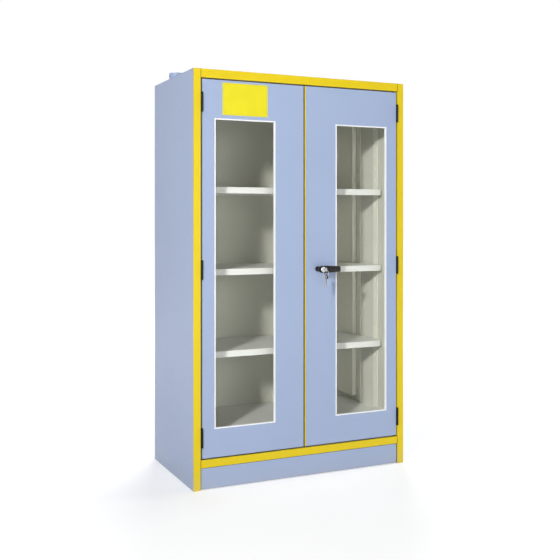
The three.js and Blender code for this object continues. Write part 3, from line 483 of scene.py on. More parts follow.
def drawn_metal():
    """Bare metal with the fine lines of drawing or polishing along one way."""
    group, graph, given = new_group(
        "Drawn Metal",
        (("Color", COLOUR, (0.6, 0.6, 0.6, 1)), ("Grain", VECTOR, (900.0, 900.0, 30.0)),
         ("Contrast", NUMBER, 0.08), ("Smooth", NUMBER, 0.12), ("Rough", NUMBER, 0.24),
         ("Relief", NUMBER, 0.06)),
        SURFACE_OUTPUTS,
    )
    place = graph.place()
    grained = graph.add(
        "ShaderNodeVectorMath", {0: place, 1: given["Grain"]}, operation="MULTIPLY",
    ).outputs[0]
    lines = graph.noise(grained, scale=1.0, detail=2.0)
    handling = graph.noise(place, scale=95.0, detail=4.0)
    swing = graph.ranged(lines, *MIDDLE_BAND, -1.0, 1.0)
    value = graph.math("MULTIPLY_ADD", swing, given["Contrast"], 1.0)
    both = graph.math("MULTIPLY_ADD", handling, 0.6, graph.math("MULTIPLY", lines, 0.4))
    graph.add("NodeGroupOutput", {
        "Color": graph.shaded(given["Color"], value),
        "Roughness": graph.ranged(both, 0.35, 0.65, given["Smooth"], given["Rough"]),
        "Normal": graph.bump(lines, given["Relief"], distance=0.0002),
    })
    return group


def zinc_bloom():
    """The small crystals of zinc plating, each a little lighter or darker."""
    group, graph, given = new_group(
        "Zinc Bloom",
        (("Color", COLOUR, (0.5, 0.5, 0.5, 1)), ("Crystals", NUMBER, 170.0),
         ("Contrast", NUMBER, 0.1)),
        SURFACE_OUTPUTS,
    )
    place = graph.place()
    wander = graph.add("ShaderNodeTexNoise", {"Vector": place, "Scale": 60.0}).outputs["Color"]
    bent = graph.add(
        "ShaderNodeVectorMath", {0: wander, 1: (0.006, 0.006, 0.006), 2: place},
        operation="MULTIPLY_ADD",
    ).outputs[0]
    cells = graph.add("ShaderNodeTexVoronoi", {"Vector": bent, "Scale": given["Crystals"]})
    shade = graph.add("ShaderNodeSeparateColor", {"Color": cells.outputs["Color"]}).outputs["Red"]
    swing = graph.ranged(shade, 0.0, 1.0, -1.0, 1.0)
    value = graph.math("MULTIPLY_ADD", swing, given["Contrast"], 1.0)
    graph.add("NodeGroupOutput", {
        "Color": graph.shaded(given["Color"], value),
        "Roughness": graph.ranged(shade, 0.0, 1.0, 0.3, 0.46),
        "Normal": graph.bump(graph.noise(place, scale=480.0), strength=0.08, distance=0.0003),
    })
    return group


def moulded_grain():
    """The fine leathery grain of moulded plastic and rubber."""
    group, graph, given = new_group(
        "Moulded Grain",
        (("Color", COLOUR, (0.02, 0.02, 0.02, 1)), ("Grain", NUMBER, 1100.0),
         ("Relief", NUMBER, 0.2), ("Smooth", NUMBER, 0.3), ("Rough", NUMBER, 0.45)),
        SURFACE_OUTPUTS,
    )
    place = graph.place()
    inputs = {"Vector": place, "Scale": given["Grain"]}
    cells = graph.add("ShaderNodeTexVoronoi", inputs, feature="F1")
    handling = graph.noise(place, scale=70.0, detail=4.0)
    value = graph.ranged(handling, *MIDDLE_BAND, 0.85, 1.2)
    graph.add("NodeGroupOutput", {
        "Color": graph.shaded(given["Color"], value),
        "Roughness": graph.ranged(handling, *MIDDLE_BAND, given["Smooth"], given["Rough"]),
        "Normal": graph.bump(cells.outputs["Distance"], given["Relief"], distance=0.0002),
    })
    return group


def printed_sheet():
    """The plate's film: a faint darker edge line, a soft gloss and a slight waviness."""
    group, graph, given = new_group(
        "Printed Sheet",
        (("Color", COLOUR, (0.9, 0.8, 0.0, 1)), ("Middle", VECTOR, (0.0, 0.0, 0.0)),
         ("Half Size", VECTOR, (0.1, 0.1, 0.1)), ("Margin", NUMBER, 0.005),
         ("Line", NUMBER, 0.0012)),
        SURFACE_OUTPUTS,
    )
    place = graph.place()
    offset = graph.add(
        "ShaderNodeVectorMath", {0: place, 1: given["Middle"]}, operation="SUBTRACT",
    ).outputs[0]
    reach = graph.add("ShaderNodeVectorMath", {0: offset}, operation="ABSOLUTE").outputs[0]
    room = graph.add(
        "ShaderNodeVectorMath", {0: given["Half Size"], 1: reach}, operation="SUBTRACT",
    ).outputs[0]
    parts = graph.add("ShaderNodeSeparateXYZ", {"Vector": room}).outputs
    inward = graph.math("MINIMUM", parts["X"], parts["Z"])
    from_line = graph.math("ABSOLUTE", graph.math("SUBTRACT", inward, given["Margin"]))
    line = graph.math("LESS_THAN", from_line, given["Line"])
    broad = graph.noise(place, scale=18.0, detail=3.0)
    value = graph.ranged(broad, *MIDDLE_BAND, 0.975, 1.02)
    film = graph.shaded(given["Color"], value)
    edged = graph.mixed(graph.math("MULTIPLY", line, PLATE_LINE_SHARE), film, PLATE_LINE)
    graph.add("NodeGroupOutput", {
        "Color": edged,
        "Roughness": graph.ranged(broad, *MIDDLE_BAND, 0.28, 0.36),
        "Normal": graph.bump(graph.noise(place, scale=140.0), strength=0.05, distance=0.0004),
    })
    return group


def new_material(name):
    """An empty material and its graph."""
    material = bpy.data.materials.new(name)
    material.use_nodes = True
    material.node_tree.nodes.clear()
    return material, Graph(material.node_tree)


def surfaced(name, group, values, **shader):
    """A Principled material whose colour, roughness and normal come from a group."""
    material, graph = new_material(name)
    effect = graph.add("ShaderNodeGroup", node_tree=group)
    for label, value in values.items():
        effect.inputs[label].default_value = value
    inputs = {
        "Base Color": effect.outputs["Color"],
        "Roughness": effect.outputs["Roughness"],
        "Normal": effect.outputs["Normal"],
    }
    inputs.update(shader)
    principled = graph.add("ShaderNodeBsdfPrincipled", inputs)
    graph.add("ShaderNodeOutputMaterial", {"Surface": principled.outputs[0]})
    return material


def coated(name, colour, dust_group=None, sheen=0.5, **values):
    """A sprayed coat, with the floor's dust on it where it reaches down there."""
    coat = bpy.data.node_groups["Sprayed Coat"]
    values = {"Color": (*colour, 1), **values}
    material = surfaced(name, coat, values, **{"Specular IOR Level": sheen})
    if dust_group:
        graph = Graph(material.node_tree)
        principled = next(n for n in material.node_tree.nodes if n.type == "BSDF_PRINCIPLED")
        clean = principled.inputs["Base Color"].links[0].from_socket
        mask = graph.add("ShaderNodeGroup", node_tree=dust_group).outputs["Mask"]
        dirty = graph.mixed(mask, clean, (*colours().dust, 1))
        graph.tree.links.new(dirty, principled.inputs["Base Color"])
    return material


def clear_glass(name):
    """Fire glass that lets lamps and soft light through to the cabinet's inside."""
    material, graph = new_material(name)
    waves = graph.noise(graph.place(), scale=5.0, detail=1.0)
    ripple = graph.bump(waves, strength=0.12, distance=0.0005)
    glass = graph.add("ShaderNodeBsdfPrincipled", {
        "Base Color": (0.975, 0.99, 0.98, 1),
        "Roughness": 0.01,
        "IOR": 1.2,
        "Transmission Weight": 1.0,
        "Normal": ripple,
    })
    open_way = graph.add("ShaderNodeBsdfTransparent", {"Color": (0.985, 0.99, 0.98, 1)})
    path = graph.add("ShaderNodeLightPath").outputs
    soft = graph.math("MAXIMUM", path["Is Shadow Ray"], path["Is Diffuse Ray"])
    mix = graph.add("ShaderNodeMixShader", {0: soft, 1: glass.outputs[0], 2: open_way.outputs[0]})
    graph.add("ShaderNodeOutputMaterial", {"Surface": mix.outputs[0]})
    return material


FINISHES = {}


def make_finishes():
    """Builds a finish for each of the record's slots, with the groups that it uses."""
    c = colours()
    sprayed_coat()
    dust = floor_dust()
    board, metal, zinc = pressed_face(), drawn_metal(), zinc_bloom()
    grain = moulded_grain()
    FINISHES.update({
        "blue_paint": coated("blue_coat", c.blue, dust, sheen=0.36, Mottle=0.012),
        "yellow_paint": coated("yellow_coat", c.yellow, dust, sheen=0.4, Mottle=0.018),
        "white_paint": coated("white_coat", c.white, Mottle=0.015, Smooth=0.4, Rough=0.52),
        "trim_white": coated("trim_coat", c.trim, Mottle=0.01, Smooth=0.3, Rough=0.38, Peel=0.08),
        "black_steel": coated(
            "black_coat", c.black, sheen=0.14, Mottle=0.12, Smooth=0.3, Rough=0.48,
        ),
        "faced_board": surfaced("board_face", board, {"Color": (*c.board, 1)}),
        "zinc_steel": surfaced("zinc_plating", zinc, {"Color": (*c.zinc, 1)}, Metallic=1.0),
        "chrome": surfaced(
            "chrome_plating", metal,
            {"Color": (*c.chrome, 1), "Contrast": 0.04, "Smooth": 0.06, "Rough": 0.14,
             "Relief": 0.03},
            Metallic=1.0,
        ),
        "black_plastic": surfaced(
            "moulded_plastic", grain,
            {"Color": (*c.plastic, 1), "Relief": 0.1, "Smooth": 0.16, "Rough": 0.26},
            **{"Specular IOR Level": 0.3},
        ),
        "seal_strip": surfaced(
            "seal_rubber", grain, {"Color": (*c.rubber, 1), "Smooth": 0.55, "Rough": 0.7},
            **{"Specular IOR Level": 0.08},
        ),
        "fire_glass": clear_glass("fire_glass"),
    })


# Mesh work


def add_piece(name, bm, body, slot, smooth=True, material=None):
    """Makes an object of bm, gives it its finish and lets it ride on a body."""
    for face in bm.faces:
        face.smooth = smooth
    for edge in bm.edges:
        if len(edge.link_faces) == 2 and edge.calc_face_angle(0.0) > SHARP_ANGLE:
            edge.smooth = False
    mesh = bpy.data.meshes.new(name)
    bm.to_mesh(mesh)
    bm.free()
    piece = bpy.data.objects.new(name, mesh)
    bpy.context.scene.collection.objects.link(piece)
    mesh.materials.append(material or FINISHES[slot])
    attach(piece, body)
    return piece


def tidy(bm):
    """Merges the doubles and turns every face outwards."""
    bmesh.ops.remove_doubles(bm, verts=bm.verts[:], dist=MERGE_GAP)
    bmesh.ops.recalc_face_normals(bm, faces=bm.faces[:])


def solid_copy(node):
    """A merged copy of a solid's mesh, with its flat faces whole again."""
    bm = bmesh.new()
    bm.from_mesh(NODES[node].data)
    bmesh.ops.remove_doubles(bm, verts=bm.verts[:], dist=MERGE_GAP)
    bmesh.ops.dissolve_limit(bm, angle_limit=FLAT_ANGLE, verts=bm.verts[:], edges=bm.edges[:])
    bmesh.ops.recalc_face_normals(bm, faces=bm.faces[:])
    return bm


def face_width(face):
    """How narrow a face is, also where it runs round a ring."""
    return 2 * face.calc_area() / max(face.calc_perimeter(), MERGE_GAP)


def round_edges(bm, radius, front_only=False):
    """Marks each outer edge with its part of radius, at most a share of the face beside it."""
    weights = bm.edges.layers.float.new("bevel_weight_edge")
    front = min(vert.co.y for vert in bm.verts) + FIT
    share = FRONT_SHARE if front_only else ROUND_SHARE
    for edge in bm.edges:
        if len(edge.link_faces) != 2 or not edge.is_convex:
            continue
        if front_only and any(vert.co.y > front for vert in edge.verts):
            continue
        if edge.calc_face_angle(0.0) > SHARP_ANGLE:
            narrow = min(face_width(face) for face in edge.link_faces)
            edge[weights] = min(1.0, share * narrow / radius)


def finish_solid(node, radius, segments=2, front_only=False, slot=None, material=None):
    """Replaces a solid by a copy with rounded edges, in the same place and of the same size."""
    bm = solid_copy(node)
    round_edges(bm, radius, front_only)
    body, slot = NODES[node]["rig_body"], slot or SLOTS[node]
    piece = add_piece(f"{node}_shape", bm, body, slot, material=material)
    bevel = piece.modifiers.new("Rounded edges", "BEVEL")
    bevel.limit_method = "WEIGHT"
    bevel.width = radius
    bevel.segments = segments
    bevel.harden_normals = True
    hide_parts(node)


def finish_solids(nodes, radius, segments=2, **more):
    for node in nodes:
        finish_solid(node, radius, segments, **more)


def spun(profile, centre, axis, steps, start=(1, 0, 0)):
    """A closed solid of revolution. profile runs as (radius, distance along axis) from centre."""
    bm = bmesh.new()
    along, outward, middle = Vector(axis), Vector(start), Vector(centre)
    verts = [bm.verts.new(middle + outward * r + along * a) for r, a in profile]
    edges = [bm.edges.new(pair) for pair in zip(verts, verts[1:])]
    if profile[0][0] > 0 or profile[-1][0] > 0:
        edges.append(bm.edges.new((verts[-1], verts[0])))
    bmesh.ops.spin(
        bm, geom=verts + edges, cent=middle, axis=along, dvec=(0, 0, 0),
        angle=FULL_TURN, steps=steps, use_merge=True,
    )
    tidy(bm)
    return bm


def merged(parts):
    """One bmesh with the meshes of all parts."""
    whole = bmesh.new()
    for part in parts:
        mesh = bpy.data.meshes.new("part")
        part.to_mesh(mesh)
        part.free()
        whole.from_mesh(mesh)
        bpy.data.meshes.remove(mesh)
    return whole


def block(low, high):
    """A box between two corners."""
    bm = bmesh.new()
    bmesh.ops.create_cube(bm, size=1)
    low, high = Vector(low), Vector(high)
    bmesh.ops.scale(bm, vec=high - low, verts=bm.verts[:])
    bmesh.ops.translate(bm, vec=(low + high) / 2, verts=bm.verts[:])
    return bm


def bevel_edges(bm, edges, radius, segments):
    """Rounds some edges of bm."""
    bmesh.ops.bevel(
        bm, geom=edges, offset=radius, offset_type="OFFSET", segments=segments,
        profile=0.5, affect="EDGES", clamp_overlap=True, material=-1,
    )


def ring_frame(outer, inner, near, far):
    """A flat ring in the XZ plane between near and far in Y. Each rectangle is x0, x1, z0, z1."""
    bm = bmesh.new()
    loops = []
    for x0, x1, z0, z1 in (outer, inner):
        verts = [bm.verts.new((x, near, z)) for x, z in ((x0, z0), (x1, z0), (x1, z1), (x0, z1))]
        loops.append([bm.edges.new((verts[i], verts[i - 1])) for i in range(4)])
    bmesh.ops.bridge_loops(bm, edges=loops[0] + loops[1])
    extruded = bmesh.ops.extrude_face_region(bm, geom=bm.faces[:])["geom"]
    moved = [item for item in extruded if isinstance(item, bmesh.types.BMVert)]
    bmesh.ops.translate(bm, vec=(0, far - near, 0), verts=moved)
    tidy(bm)
    return bm


def screw_heads(places, axis, radius, height):
    """Domed heads with a round socket, on a face whose outward way is axis."""
    way = Vector(axis)
    side = Vector((0, 0, 1)) if abs(way.z) < 0.5 else Vector((1, 0, 0))
    heads = []
    for place in places:
        profile = [(radius * out, height * up) for out, up in HEAD_PROFILE]
        heads.append(spun(profile, place, way, HEAD_STEPS, side))
    return merged(heads)


# Pieces


class CABINET_OT_finishes(Operator):
    """Builds the paints, metals, glass and plastics and puts them on the solids"""

    bl_idname = "cabinet.finishes"
    bl_label = "Finishes"

    def execute(self, context):
        make_finishes()
        for node, obj in NODES.items():
            obj.data.materials.clear()
            obj.data.materials.append(FINISHES[SLOTS[node]])
        return {"FINISHED"}


class CABINET_OT_casing(Operator):
    """Rounds the folds of the case and the front frame, and adds dark strips at the frame's joints
    and the plinth, partly painted shade
    """

    bl_idname = "cabinet.casing"
    bl_label = "Casing and frame"

    def execute(self, context):
        finish_solids(PANELS, sizes().fold_radius, segments=3)
        finish_solids(FRONT_FRAME, sizes().fold_radius, segments=3, front_only=True)
        self.joint_lines()
        return {"FINISHED"}

    def joint_lines(self):
        """Dark strips in the front frame's butt joints and round the plinth's top and ends. In the
        rail joints they are a dark joint with painted shade in its gap; round the plinth they are
        painted shade under the bottom rail and beside the posts.
        """
        width = sizes().joint_shade_line
        half, proud = width / 2, FIT / 3
        ease = half / 3
        lines = []
        # At each rail's end joints: a dark joint, with painted shade in its gap.
        for rail in ("top_rail", "bottom_rail"):
            low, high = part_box(rail)
            for x in (low.x - FIT / 2, high.x + FIT / 2):
                lines.append(block(
                    (x - half, low.y - proud, low.z + half),
                    (x + half, low.y + width, high.z - half),
                ))
        # Along the plinth's top and beside its ends: painted shade under the bottom rail and beside
        # the posts.
        low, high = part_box("plinth_panel")
        front, back, shoulder = low.y - half, low.y + FIT, high.z - width
        lines.append(block((low.x, front, shoulder), (high.x, back, high.z)))
        for x in (low.x, high.x - width):
            lines.append(block((x, front, low.z), (x + width, back, shoulder - FIT)))
        for line in lines:
            bevel_edges(line, line.edges[:], ease, segments=2)
        add_piece("joint_lines", merged(lines), "cabinet", "seal_strip")


class CABINET_OT_boards(Operator):
    """Takes the sharpness off the fire-resistant boards"""

    bl_idname = "cabinet.boards"
    bl_label = "Fire boards"

    def execute(self, context):
        finish_solids(BOARDS, sizes().board_radius)
        return {"FINISHED"}


class CABINET_OT_inside(Operator):
    """Rounds the folds of the tray, cover, shelves, uprights and air ducts"""

    bl_idname = "cabinet.inside"
    bl_label = "Shelves and tray"

    def execute(self, context):
        radius = sizes().fold_radius * INSIDE_SHARE
        finish_solids(FITTINGS, radius)
        wall_coat = coated("wall_coat", colours().wall, Mottle=0.015, Smooth=0.42, Rough=0.54)
        finish_solids(WALL_FITTINGS, radius, material=wall_coat)
        return {"FINISHED"}


class CABINET_OT_doors(Operator):
    """Rounds the folds of the doors' sheets, and adds the glazing beads and the strip's seal"""

    bl_idname = "cabinet.doors"
    bl_label = "Doors"

    def execute(self, context):
        finish_solids(DOOR_SHEETS, sizes().fold_radius)
        for side in SIDES:
            self.bead(side)
        self.strip_seal()
        return {"FINISHED"}

    def strip_seal(self):
        """The rubber seal on the gap side of the meeting strip."""
        low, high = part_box("meeting_strip")
        reach = sizes().strip_seal
        bm = block(
            (low.x - FIT - reach, low.y + SEAL_SETBACK, low.z + SEAL_END_INSET),
            (low.x - FIT, low.y + SEAL_SETBACK + SEAL_DEPTH, high.z - SEAL_END_INSET),
        )
        lips = [e for e in bm.edges if all(v.co.x < low.x - FIT - reach / 2 for v in e.verts)]
        bevel_edges(bm, lips, reach * SEAL_LIP_SHARE, segments=4)
        add_piece("meeting_seal", bm, "right_door", "seal_strip")

    def bead(self, side):
        """The bead that holds the pane from behind, round the hole in the board."""
        low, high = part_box(f"{side}_door_glass")
        width = sizes().bead_width
        edge = sizes().pane_seat + FIT
        outer = (low.x + edge, high.x - edge, low.z + edge, high.z - edge)
        inner = (outer[0] + width, outer[1] - width, outer[2] + width, outer[3] - width)
        near = high.y + FIT
        far = near + width
        bm = ring_frame(outer, inner, near, far)
        bottom, top = inner[2] - FIT, inner[3] + FIT
        rim = [
            e for e in bm.edges
            if all(abs(v.co.y - far) < MERGE_GAP and bottom < v.co.z < top for v in e.verts)
        ]
        bevel_edges(bm, rim, width * BEAD_ROUND_SHARE, segments=5)
        add_piece(f"{side}_glazing_bead", bm, f"{side}_door", "trim_white")


class CABINET_OT_hinges(Operator):
    """Rounds the hinges"""

    bl_idname = "cabinet.hinges"
    bl_label = "Hinges"

    def execute(self, context):
        finish_solids(HINGES, sizes().fitting_radius)
        return {"FINISHED"}


class CABINET_OT_vents(Operator):
    """Spins the roof collars and rounds the dampers"""

    bl_idname = "cabinet.vents"
    bl_label = "Roof collars"

    def execute(self, context):
        finish_solids(("left_damper", "right_damper"), sizes().fitting_radius)
        for side in SIDES:
            self.collar(side)
        return {"FINISHED"}

    def collar(self, side):
        """A spun collar with a stop bead and a rolled rim, and the rivets of its flange."""
        node = f"{side}_air_collar"
        low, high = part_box(node)
        middle = (low + high) / 2
        flange = (high.x - low.x) / 2
        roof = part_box("roof_panel")[1].z + FIT
        seat, rise = roof - low.z, high.z - low.z
        inner, top = COLLAR_RADIUS - COLLAR_WALL, seat + FLANGE_SHEET
        rounding = COLLAR_WALL * COLLAR_RIM_SHARE
        profile = [
            (inner, 0.0), (COLLAR_RADIUS, 0.0), (COLLAR_RADIUS, seat),
            (flange - COLLAR_EASE, seat), (flange, seat + FLANGE_UNDER_EASE),
            (flange, top - COLLAR_EASE), (flange - COLLAR_EASE, top),
            (COLLAR_RADIUS + WELD_WIDTH, top),
            (COLLAR_RADIUS + WELD_HOLLOW_OUT, top + WELD_HOLLOW_UP),
            (COLLAR_RADIUS, top + WELD_HEIGHT),
        ]
        stop = rise - STOP_FROM_RIM
        for step in range(STOP_STEPS + 1):
            turn = math.pi * step / STOP_STEPS
            out = COLLAR_RADIUS + STOP_HEIGHT * math.sin(turn)
            profile.append((out, stop - STOP_HALF_WIDTH * math.cos(turn)))
        profile += [
            (COLLAR_RADIUS, rise - COLLAR_EASE), (COLLAR_RADIUS - rounding, rise),
            (inner + rounding, rise), (inner, rise - COLLAR_EASE),
        ]
        bm = spun(profile, (middle.x, middle.y, low.z), (0, 0, 1), sizes().round_steps)
        piece = add_piece(f"{node}_shape", bm, "cabinet", "blue_paint")
        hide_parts(node)
        reach = (COLLAR_RADIUS + flange) / 2
        places = []
        for step in range(RIVET_COUNT):
            turn = FULL_TURN * (step + 0.5) / RIVET_COUNT
            x, y = middle.x + reach * math.cos(turn), middle.y + reach * math.sin(turn)
            places.append((x, y, roof + FLANGE_SHEET))
        rivets = screw_heads(places, (0, 0, 1), RIVET_RADIUS, RIVET_HEIGHT)
        add_piece(f"{side}_collar_rivets", rivets, "cabinet", "zinc_steel")


class CABINET_OT_plate(Operator):
    """Adds the bare plate at the top of the left door"""

    bl_idname = "cabinet.plate"
    bl_label = "Door plate"

    def execute(self, context):
        s = sizes()
        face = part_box("left_door_skin")[0].y
        front, half_sheet = face - s.plate_thickness, s.plate_thickness / 2
        low = (PLATE_LEFT, front, PLATE_TOP - s.plate_height)
        bm = block(low, (PLATE_LEFT + s.plate_width, face, PLATE_TOP))
        corners = [e for e in bm.edges if abs(e.verts[0].co.y - e.verts[1].co.y) > half_sheet]
        bevel_edges(bm, corners, PLATE_CORNER, segments=6)
        rim = [e for e in bm.edges if all(abs(v.co.y - front) < MERGE_GAP for v in e.verts)]
        bevel_edges(bm, rim, s.plate_thickness * PLATE_RIM_SHARE, segments=2)
        material = surfaced("plate_film", printed_sheet(), {
            "Color": (*colours().plate, 1),
            "Middle": (PLATE_LEFT + s.plate_width / 2, 0, PLATE_TOP - s.plate_height / 2),
            "Half Size": (s.plate_width / 2, 1, s.plate_height / 2),
        })
        add_piece("door_plate", bm, "left_door", "yellow_paint", smooth=False, material=material)
        return {"FINISHED"}


class CABINET_OT_handle(Operator):
    """Finishes the lever handle, its lock and the lock works"""

    bl_idname = "cabinet.handle"
    bl_label = "Handle and lock"

    def execute(self, context):
        radius = sizes().fitting_radius
        finish_solids(HANDLE + LOCK_WORKS, radius)
        finish_solid("handle_grip", radius * 2, segments=3)
        finish_solid("handle_lever", radius * 1.5, segments=3, slot="black_plastic")
        self.bezel()
        return {"FINISHED"}

    def bezel(self):
        """The bright ring round the lock, on the face of the lever's head."""
        low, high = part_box("lock_plug")
        middle = (low + high) / 2
        inner = (high.x - low.x) / 2 + FIT
        profile = [(inner, 0.0)]
        profile += [(BEZEL_RADIUS + out, up) for out, up in BEZEL_OUTSIDE]
        profile += [(inner + out, up) for out, up in BEZEL_INSIDE]
        centre = (middle.x, low.y, middle.z)
        bm = spun(profile, centre, (0, -1, 0), sizes().round_steps, (0, 0, 1))
        add_piece("lock_bezel", bm, NODES["handle_lever"]["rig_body"], "chrome")


class CABINET_OT_keys(Operator):
    """Hangs the ring with the spare keys on the key in the lock"""

    bl_idname = "cabinet.keys"
    bl_label = "Key ring"

    def execute(self, context):
        s = sizes()
        low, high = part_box("lock_key")
        middle = (low + high) / 2
        hang = middle.z - LOCK_KEY_HOLE + s.ring_wire / 2 + FIT
        rest = Vector((middle.x, low.y + LOCK_KEY_BOW, hang))
        centre = rest - Vector((0, 0, s.ring_radius))
        self.ring(centre)
        lowest = centre - Vector((0, 0, s.ring_radius))
        for name, along, *shape in SPARE_KEYS:
            self.hung_key(name, lowest + Vector((along, 0, 0)), *shape)
        return {"FINISHED"}

    def ring(self, centre):
        """A wire ring parallel to the door, through the hole of the key in the lock."""
        s = sizes()
        bm = bmesh.new()
        section = bmesh.ops.create_circle(
            bm, cap_ends=False, segments=WIRE_STEPS, radius=s.ring_wire / 2,
        )["verts"]
        upright = Matrix.Rotation(math.pi / 2, 3, "Y")
        bmesh.ops.rotate(bm, verts=section, cent=(0, 0, 0), matrix=upright)
        bmesh.ops.translate(bm, verts=section, vec=centre + Vector((0, 0, s.ring_radius)))
        bmesh.ops.spin(
            bm, geom=bm.verts[:] + bm.edges[:], cent=centre, axis=(0, 1, 0), dvec=(0, 0, 0),
            angle=FULL_TURN, steps=s.round_steps, use_merge=True,
        )
        tidy(bm)
        add_piece("key_ring", bm, "right_door", "chrome")

    def hung_key(self, name, lowest, lean, bow, reach, slot):
        """A flat key that hangs across the ring by the eye of its bow, leaning by some degrees."""
        half, sheet = BOW_HALF_SHEET, BLADE_HALF_SHEET
        middle = lowest - Vector((0, 0, KEY_EYE - sizes().ring_wire / 2 - FIT))
        rim, face = bow - half * BOW_RIM_SHARE, half * BOW_FACE_SHARE
        head = spun(
            [(KEY_EYE, -half), (rim, -half), (bow, -face),
             (bow, face), (rim, half), (KEY_EYE, half)],
            middle, (1, 0, 0), BOW_STEPS, (0, 0, 1),
        )
        end = middle.z - bow - reach
        blade = block(
            (middle.x - sheet, middle.y - BLADE_HALF_WIDTH, end),
            (middle.x + sheet, middle.y + BLADE_HALF_WIDTH, middle.z - bow * BLADE_ROOT_SHARE),
        )
        tip = [
            e for e in blade.edges
            if all(v.co.z < end + FIT for v in e.verts)
            and abs(e.verts[0].co.x - e.verts[1].co.x) > sheet
        ]
        bevel_edges(blade, tip, BLADE_TIP_RADIUS, segments=3)
        turned = Matrix.Rotation(math.radians(KEY_TURN), 3, "Z")
        hang = turned @ Matrix.Rotation(math.radians(lean), 3, "Y")
        for part, ending, finish in ((head, "bow", slot), (blade, "blade", "zinc_steel")):
            bmesh.ops.rotate(part, verts=part.verts[:], cent=lowest, matrix=hang)
            add_piece(f"{name}_{ending}", part, "right_door", finish)


class CABINET_OT_screws(Operator):
    """Adds the screws of the back panel"""

    bl_idname = "cabinet.screws"
    bl_label = "Screws"

    def execute(self, context):
        low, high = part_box("back_panel")
        places = []
        for row in range(SCREW_ROWS):
            z = low.z + SCREW_INSET + (high.z - low.z - 2 * SCREW_INSET) * row / (SCREW_ROWS - 1)
            for x in (low.x + SCREW_SIDE_INSET, high.x - SCREW_SIDE_INSET):
                places.append((x, high.y, z))
        between = high.x - low.x - 2 * SCREW_SIDE_INSET
        for column in range(1, SCREW_COLUMNS + 1):
            x = low.x + SCREW_SIDE_INSET + between * column / (SCREW_COLUMNS + 1)
            places += [(x, high.y, low.z + SCREW_INSET), (x, high.y, high.z - SCREW_INSET)]
        bm = screw_heads(places, (0, 1, 0), sizes().screw_radius, SCREW_HEIGHT)
        add_piece("back_screws", bm, "cabinet", "zinc_steel")
        return {"FINISHED"}


# Stage


def add_lamp(name, azimuth, elevation, distance, power, size):
    """A square lamp aimed at the cabinet. Azimuth 0 stands in front of it, 90 at its left."""
    turn, rise = math.radians(azimuth), math.radians(elevation)
    level = math.cos(rise)
    way = Vector((-math.sin(turn) * level, -math.cos(turn) * level, math.sin(rise)))
    data = bpy.data.lights.new(name, "AREA")
    data.energy, data.size, data.shape = power, size, "SQUARE"
    lamp = bpy.data.objects.new(name, data)
    lamp.location = Vector(LAMP_TARGET) + way * distance
    lamp.rotation_euler = (-way).to_track_quat("-Z", "Y").to_euler()
    lamp.visible_camera = False
    bpy.context.scene.collection.objects.link(lamp)


def seen_rays(graph):
    """1 for the rays that the camera, a mirror or a pane sends out."""
    path = graph.add("ShaderNodeLightPath").outputs
    mirrored = graph.math("MAXIMUM", path["Is Camera Ray"], path["Is Glossy Ray"])
    return graph.math("MAXIMUM", mirrored, path["Is Transmission Ray"])


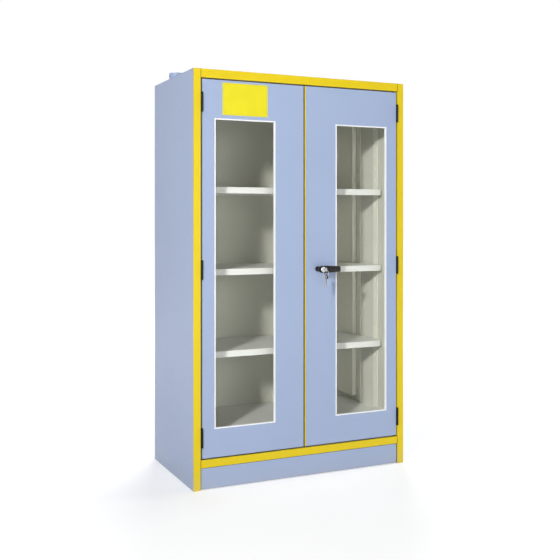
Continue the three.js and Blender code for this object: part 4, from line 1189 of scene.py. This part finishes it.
class CABINET_OT_stage(Operator):
    """Builds the pale floor, the soft studio light and the camera"""

    bl_idname = "cabinet.stage"
    bl_label = "Stage"

    def execute(self, context):
        stage = context.scene.cabinet_stage
        self.world(stage)
        self.floor(stage)
        for name, azimuth, elevation, distance, size in LAMPS:
            power = getattr(stage, name.replace("_lamp", "_power"))
            add_lamp(name, azimuth, elevation, distance, power, size)
        self.camera(stage)
        context.scene.view_settings.view_transform = "Standard"
        return {"FINISHED"}

    def world(self, stage):
        world = bpy.data.worlds.new("studio")
        bpy.context.scene.world = world
        world.use_nodes = True
        world.node_tree.nodes.clear()
        graph = Graph(world.node_tree)
        strength = graph.ranged(seen_rays(graph), 0.0, 1.0, stage.ambient, 1.0)
        inputs = {"Color": (1, 1, 1, 1), "Strength": strength}
        background = graph.add("ShaderNodeBackground", inputs)
        graph.add("ShaderNodeOutputWorld", {"Surface": background.outputs[0]})

    def floor(self, stage):
        bm = bmesh.new()
        bmesh.ops.create_grid(bm, x_segments=1, y_segments=1, size=FLOOR_HALF)
        mesh = bpy.data.meshes.new("floor")
        bm.to_mesh(mesh)
        bm.free()
        floor = bpy.data.objects.new("floor", mesh)
        bpy.context.scene.collection.objects.link(floor)
        material, graph = new_material("studio_floor")
        clouds = graph.noise(graph.place(), scale=1.3)
        mottle = graph.ranged(clouds, *MIDDLE_BAND, FLOOR_DARK, FLOOR_LIGHT)
        channels = {"Red": mottle, "Green": mottle, "Blue": mottle}
        colour = graph.add("ShaderNodeCombineColor", channels)
        matte = graph.add("ShaderNodeBsdfDiffuse", {"Color": colour.outputs[0]})
        length = graph.add("ShaderNodeVectorMath", {0: graph.place()}, operation="LENGTH")
        reach = length.outputs["Value"]
        white = graph.ranged(reach, GLOW_NEAR, GLOW_FAR, stage.floor_glow, FAR_GLOW, smooth=True)
        glow = graph.math("MULTIPLY", seen_rays(graph), white)
        light = graph.add("ShaderNodeEmission", {"Color": (1, 1, 1, 1), "Strength": glow})
        both = graph.add("ShaderNodeAddShader", {0: matte.outputs[0], 1: light.outputs[0]})
        graph.add("ShaderNodeOutputMaterial", {"Surface": both.outputs[0]})
        mesh.materials.append(material)

    def camera(self, stage):
        data = bpy.data.cameras.new("camera")
        data.lens = stage.focal_length
        data.sensor_width = SENSOR_WIDTH
        data.shift_y = CAMERA_SHIFT
        camera = bpy.data.objects.new("camera", data)
        camera.location = CAMERA_PLACE
        camera.rotation_euler = (math.radians(90), 0, math.radians(CAMERA_AZIMUTH))
        bpy.context.scene.collection.objects.link(camera)
        bpy.context.scene.camera = camera


class CABINET_PT_builder(Panel):
    """Lists the steps that finish the cabinet, and their values"""

    bl_idname = "CABINET_PT_builder"
    bl_label = "Safety cabinet"
    bl_space_type = "VIEW_3D"
    bl_region_type = "UI"
    bl_category = "Cabinet"

    def draw(self, context):
        column = self.layout.column(align=True)
        for step in STEPS:
            column.operator(step.bl_idname)
        for name, kind in GROUPS:
            box = self.layout.box()
            for value in kind.__annotations__:
                box.prop(getattr(context.scene, name), value)


STEPS = (
    CABINET_OT_finishes, CABINET_OT_casing, CABINET_OT_boards, CABINET_OT_inside, CABINET_OT_doors,
    CABINET_OT_hinges, CABINET_OT_vents, CABINET_OT_plate, CABINET_OT_handle, CABINET_OT_keys,
    CABINET_OT_screws, CABINET_OT_stage,
)
GROUPS = (
    ("cabinet_sizes", CabinetSizes),
    ("cabinet_colours", CabinetColours),
    ("cabinet_stage", CabinetStage),
)


def register():
    for name, group in GROUPS:
        bpy.utils.register_class(group)
        setattr(bpy.types.Scene, name, PointerProperty(type=group))
    for step in STEPS:
        bpy.utils.register_class(step)
    bpy.utils.register_class(CABINET_PT_builder)


def unregister():
    bpy.utils.unregister_class(CABINET_PT_builder)
    for step in reversed(STEPS):
        bpy.utils.unregister_class(step)
    for name, group in reversed(GROUPS):
        delattr(bpy.types.Scene, name)
        bpy.utils.unregister_class(group)


def main():
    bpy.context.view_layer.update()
    register()
    for step in STEPS:
        family, name = step.bl_idname.split(".")
        getattr(getattr(bpy.ops, family), name)()


if __name__ == "__main__":
    main()
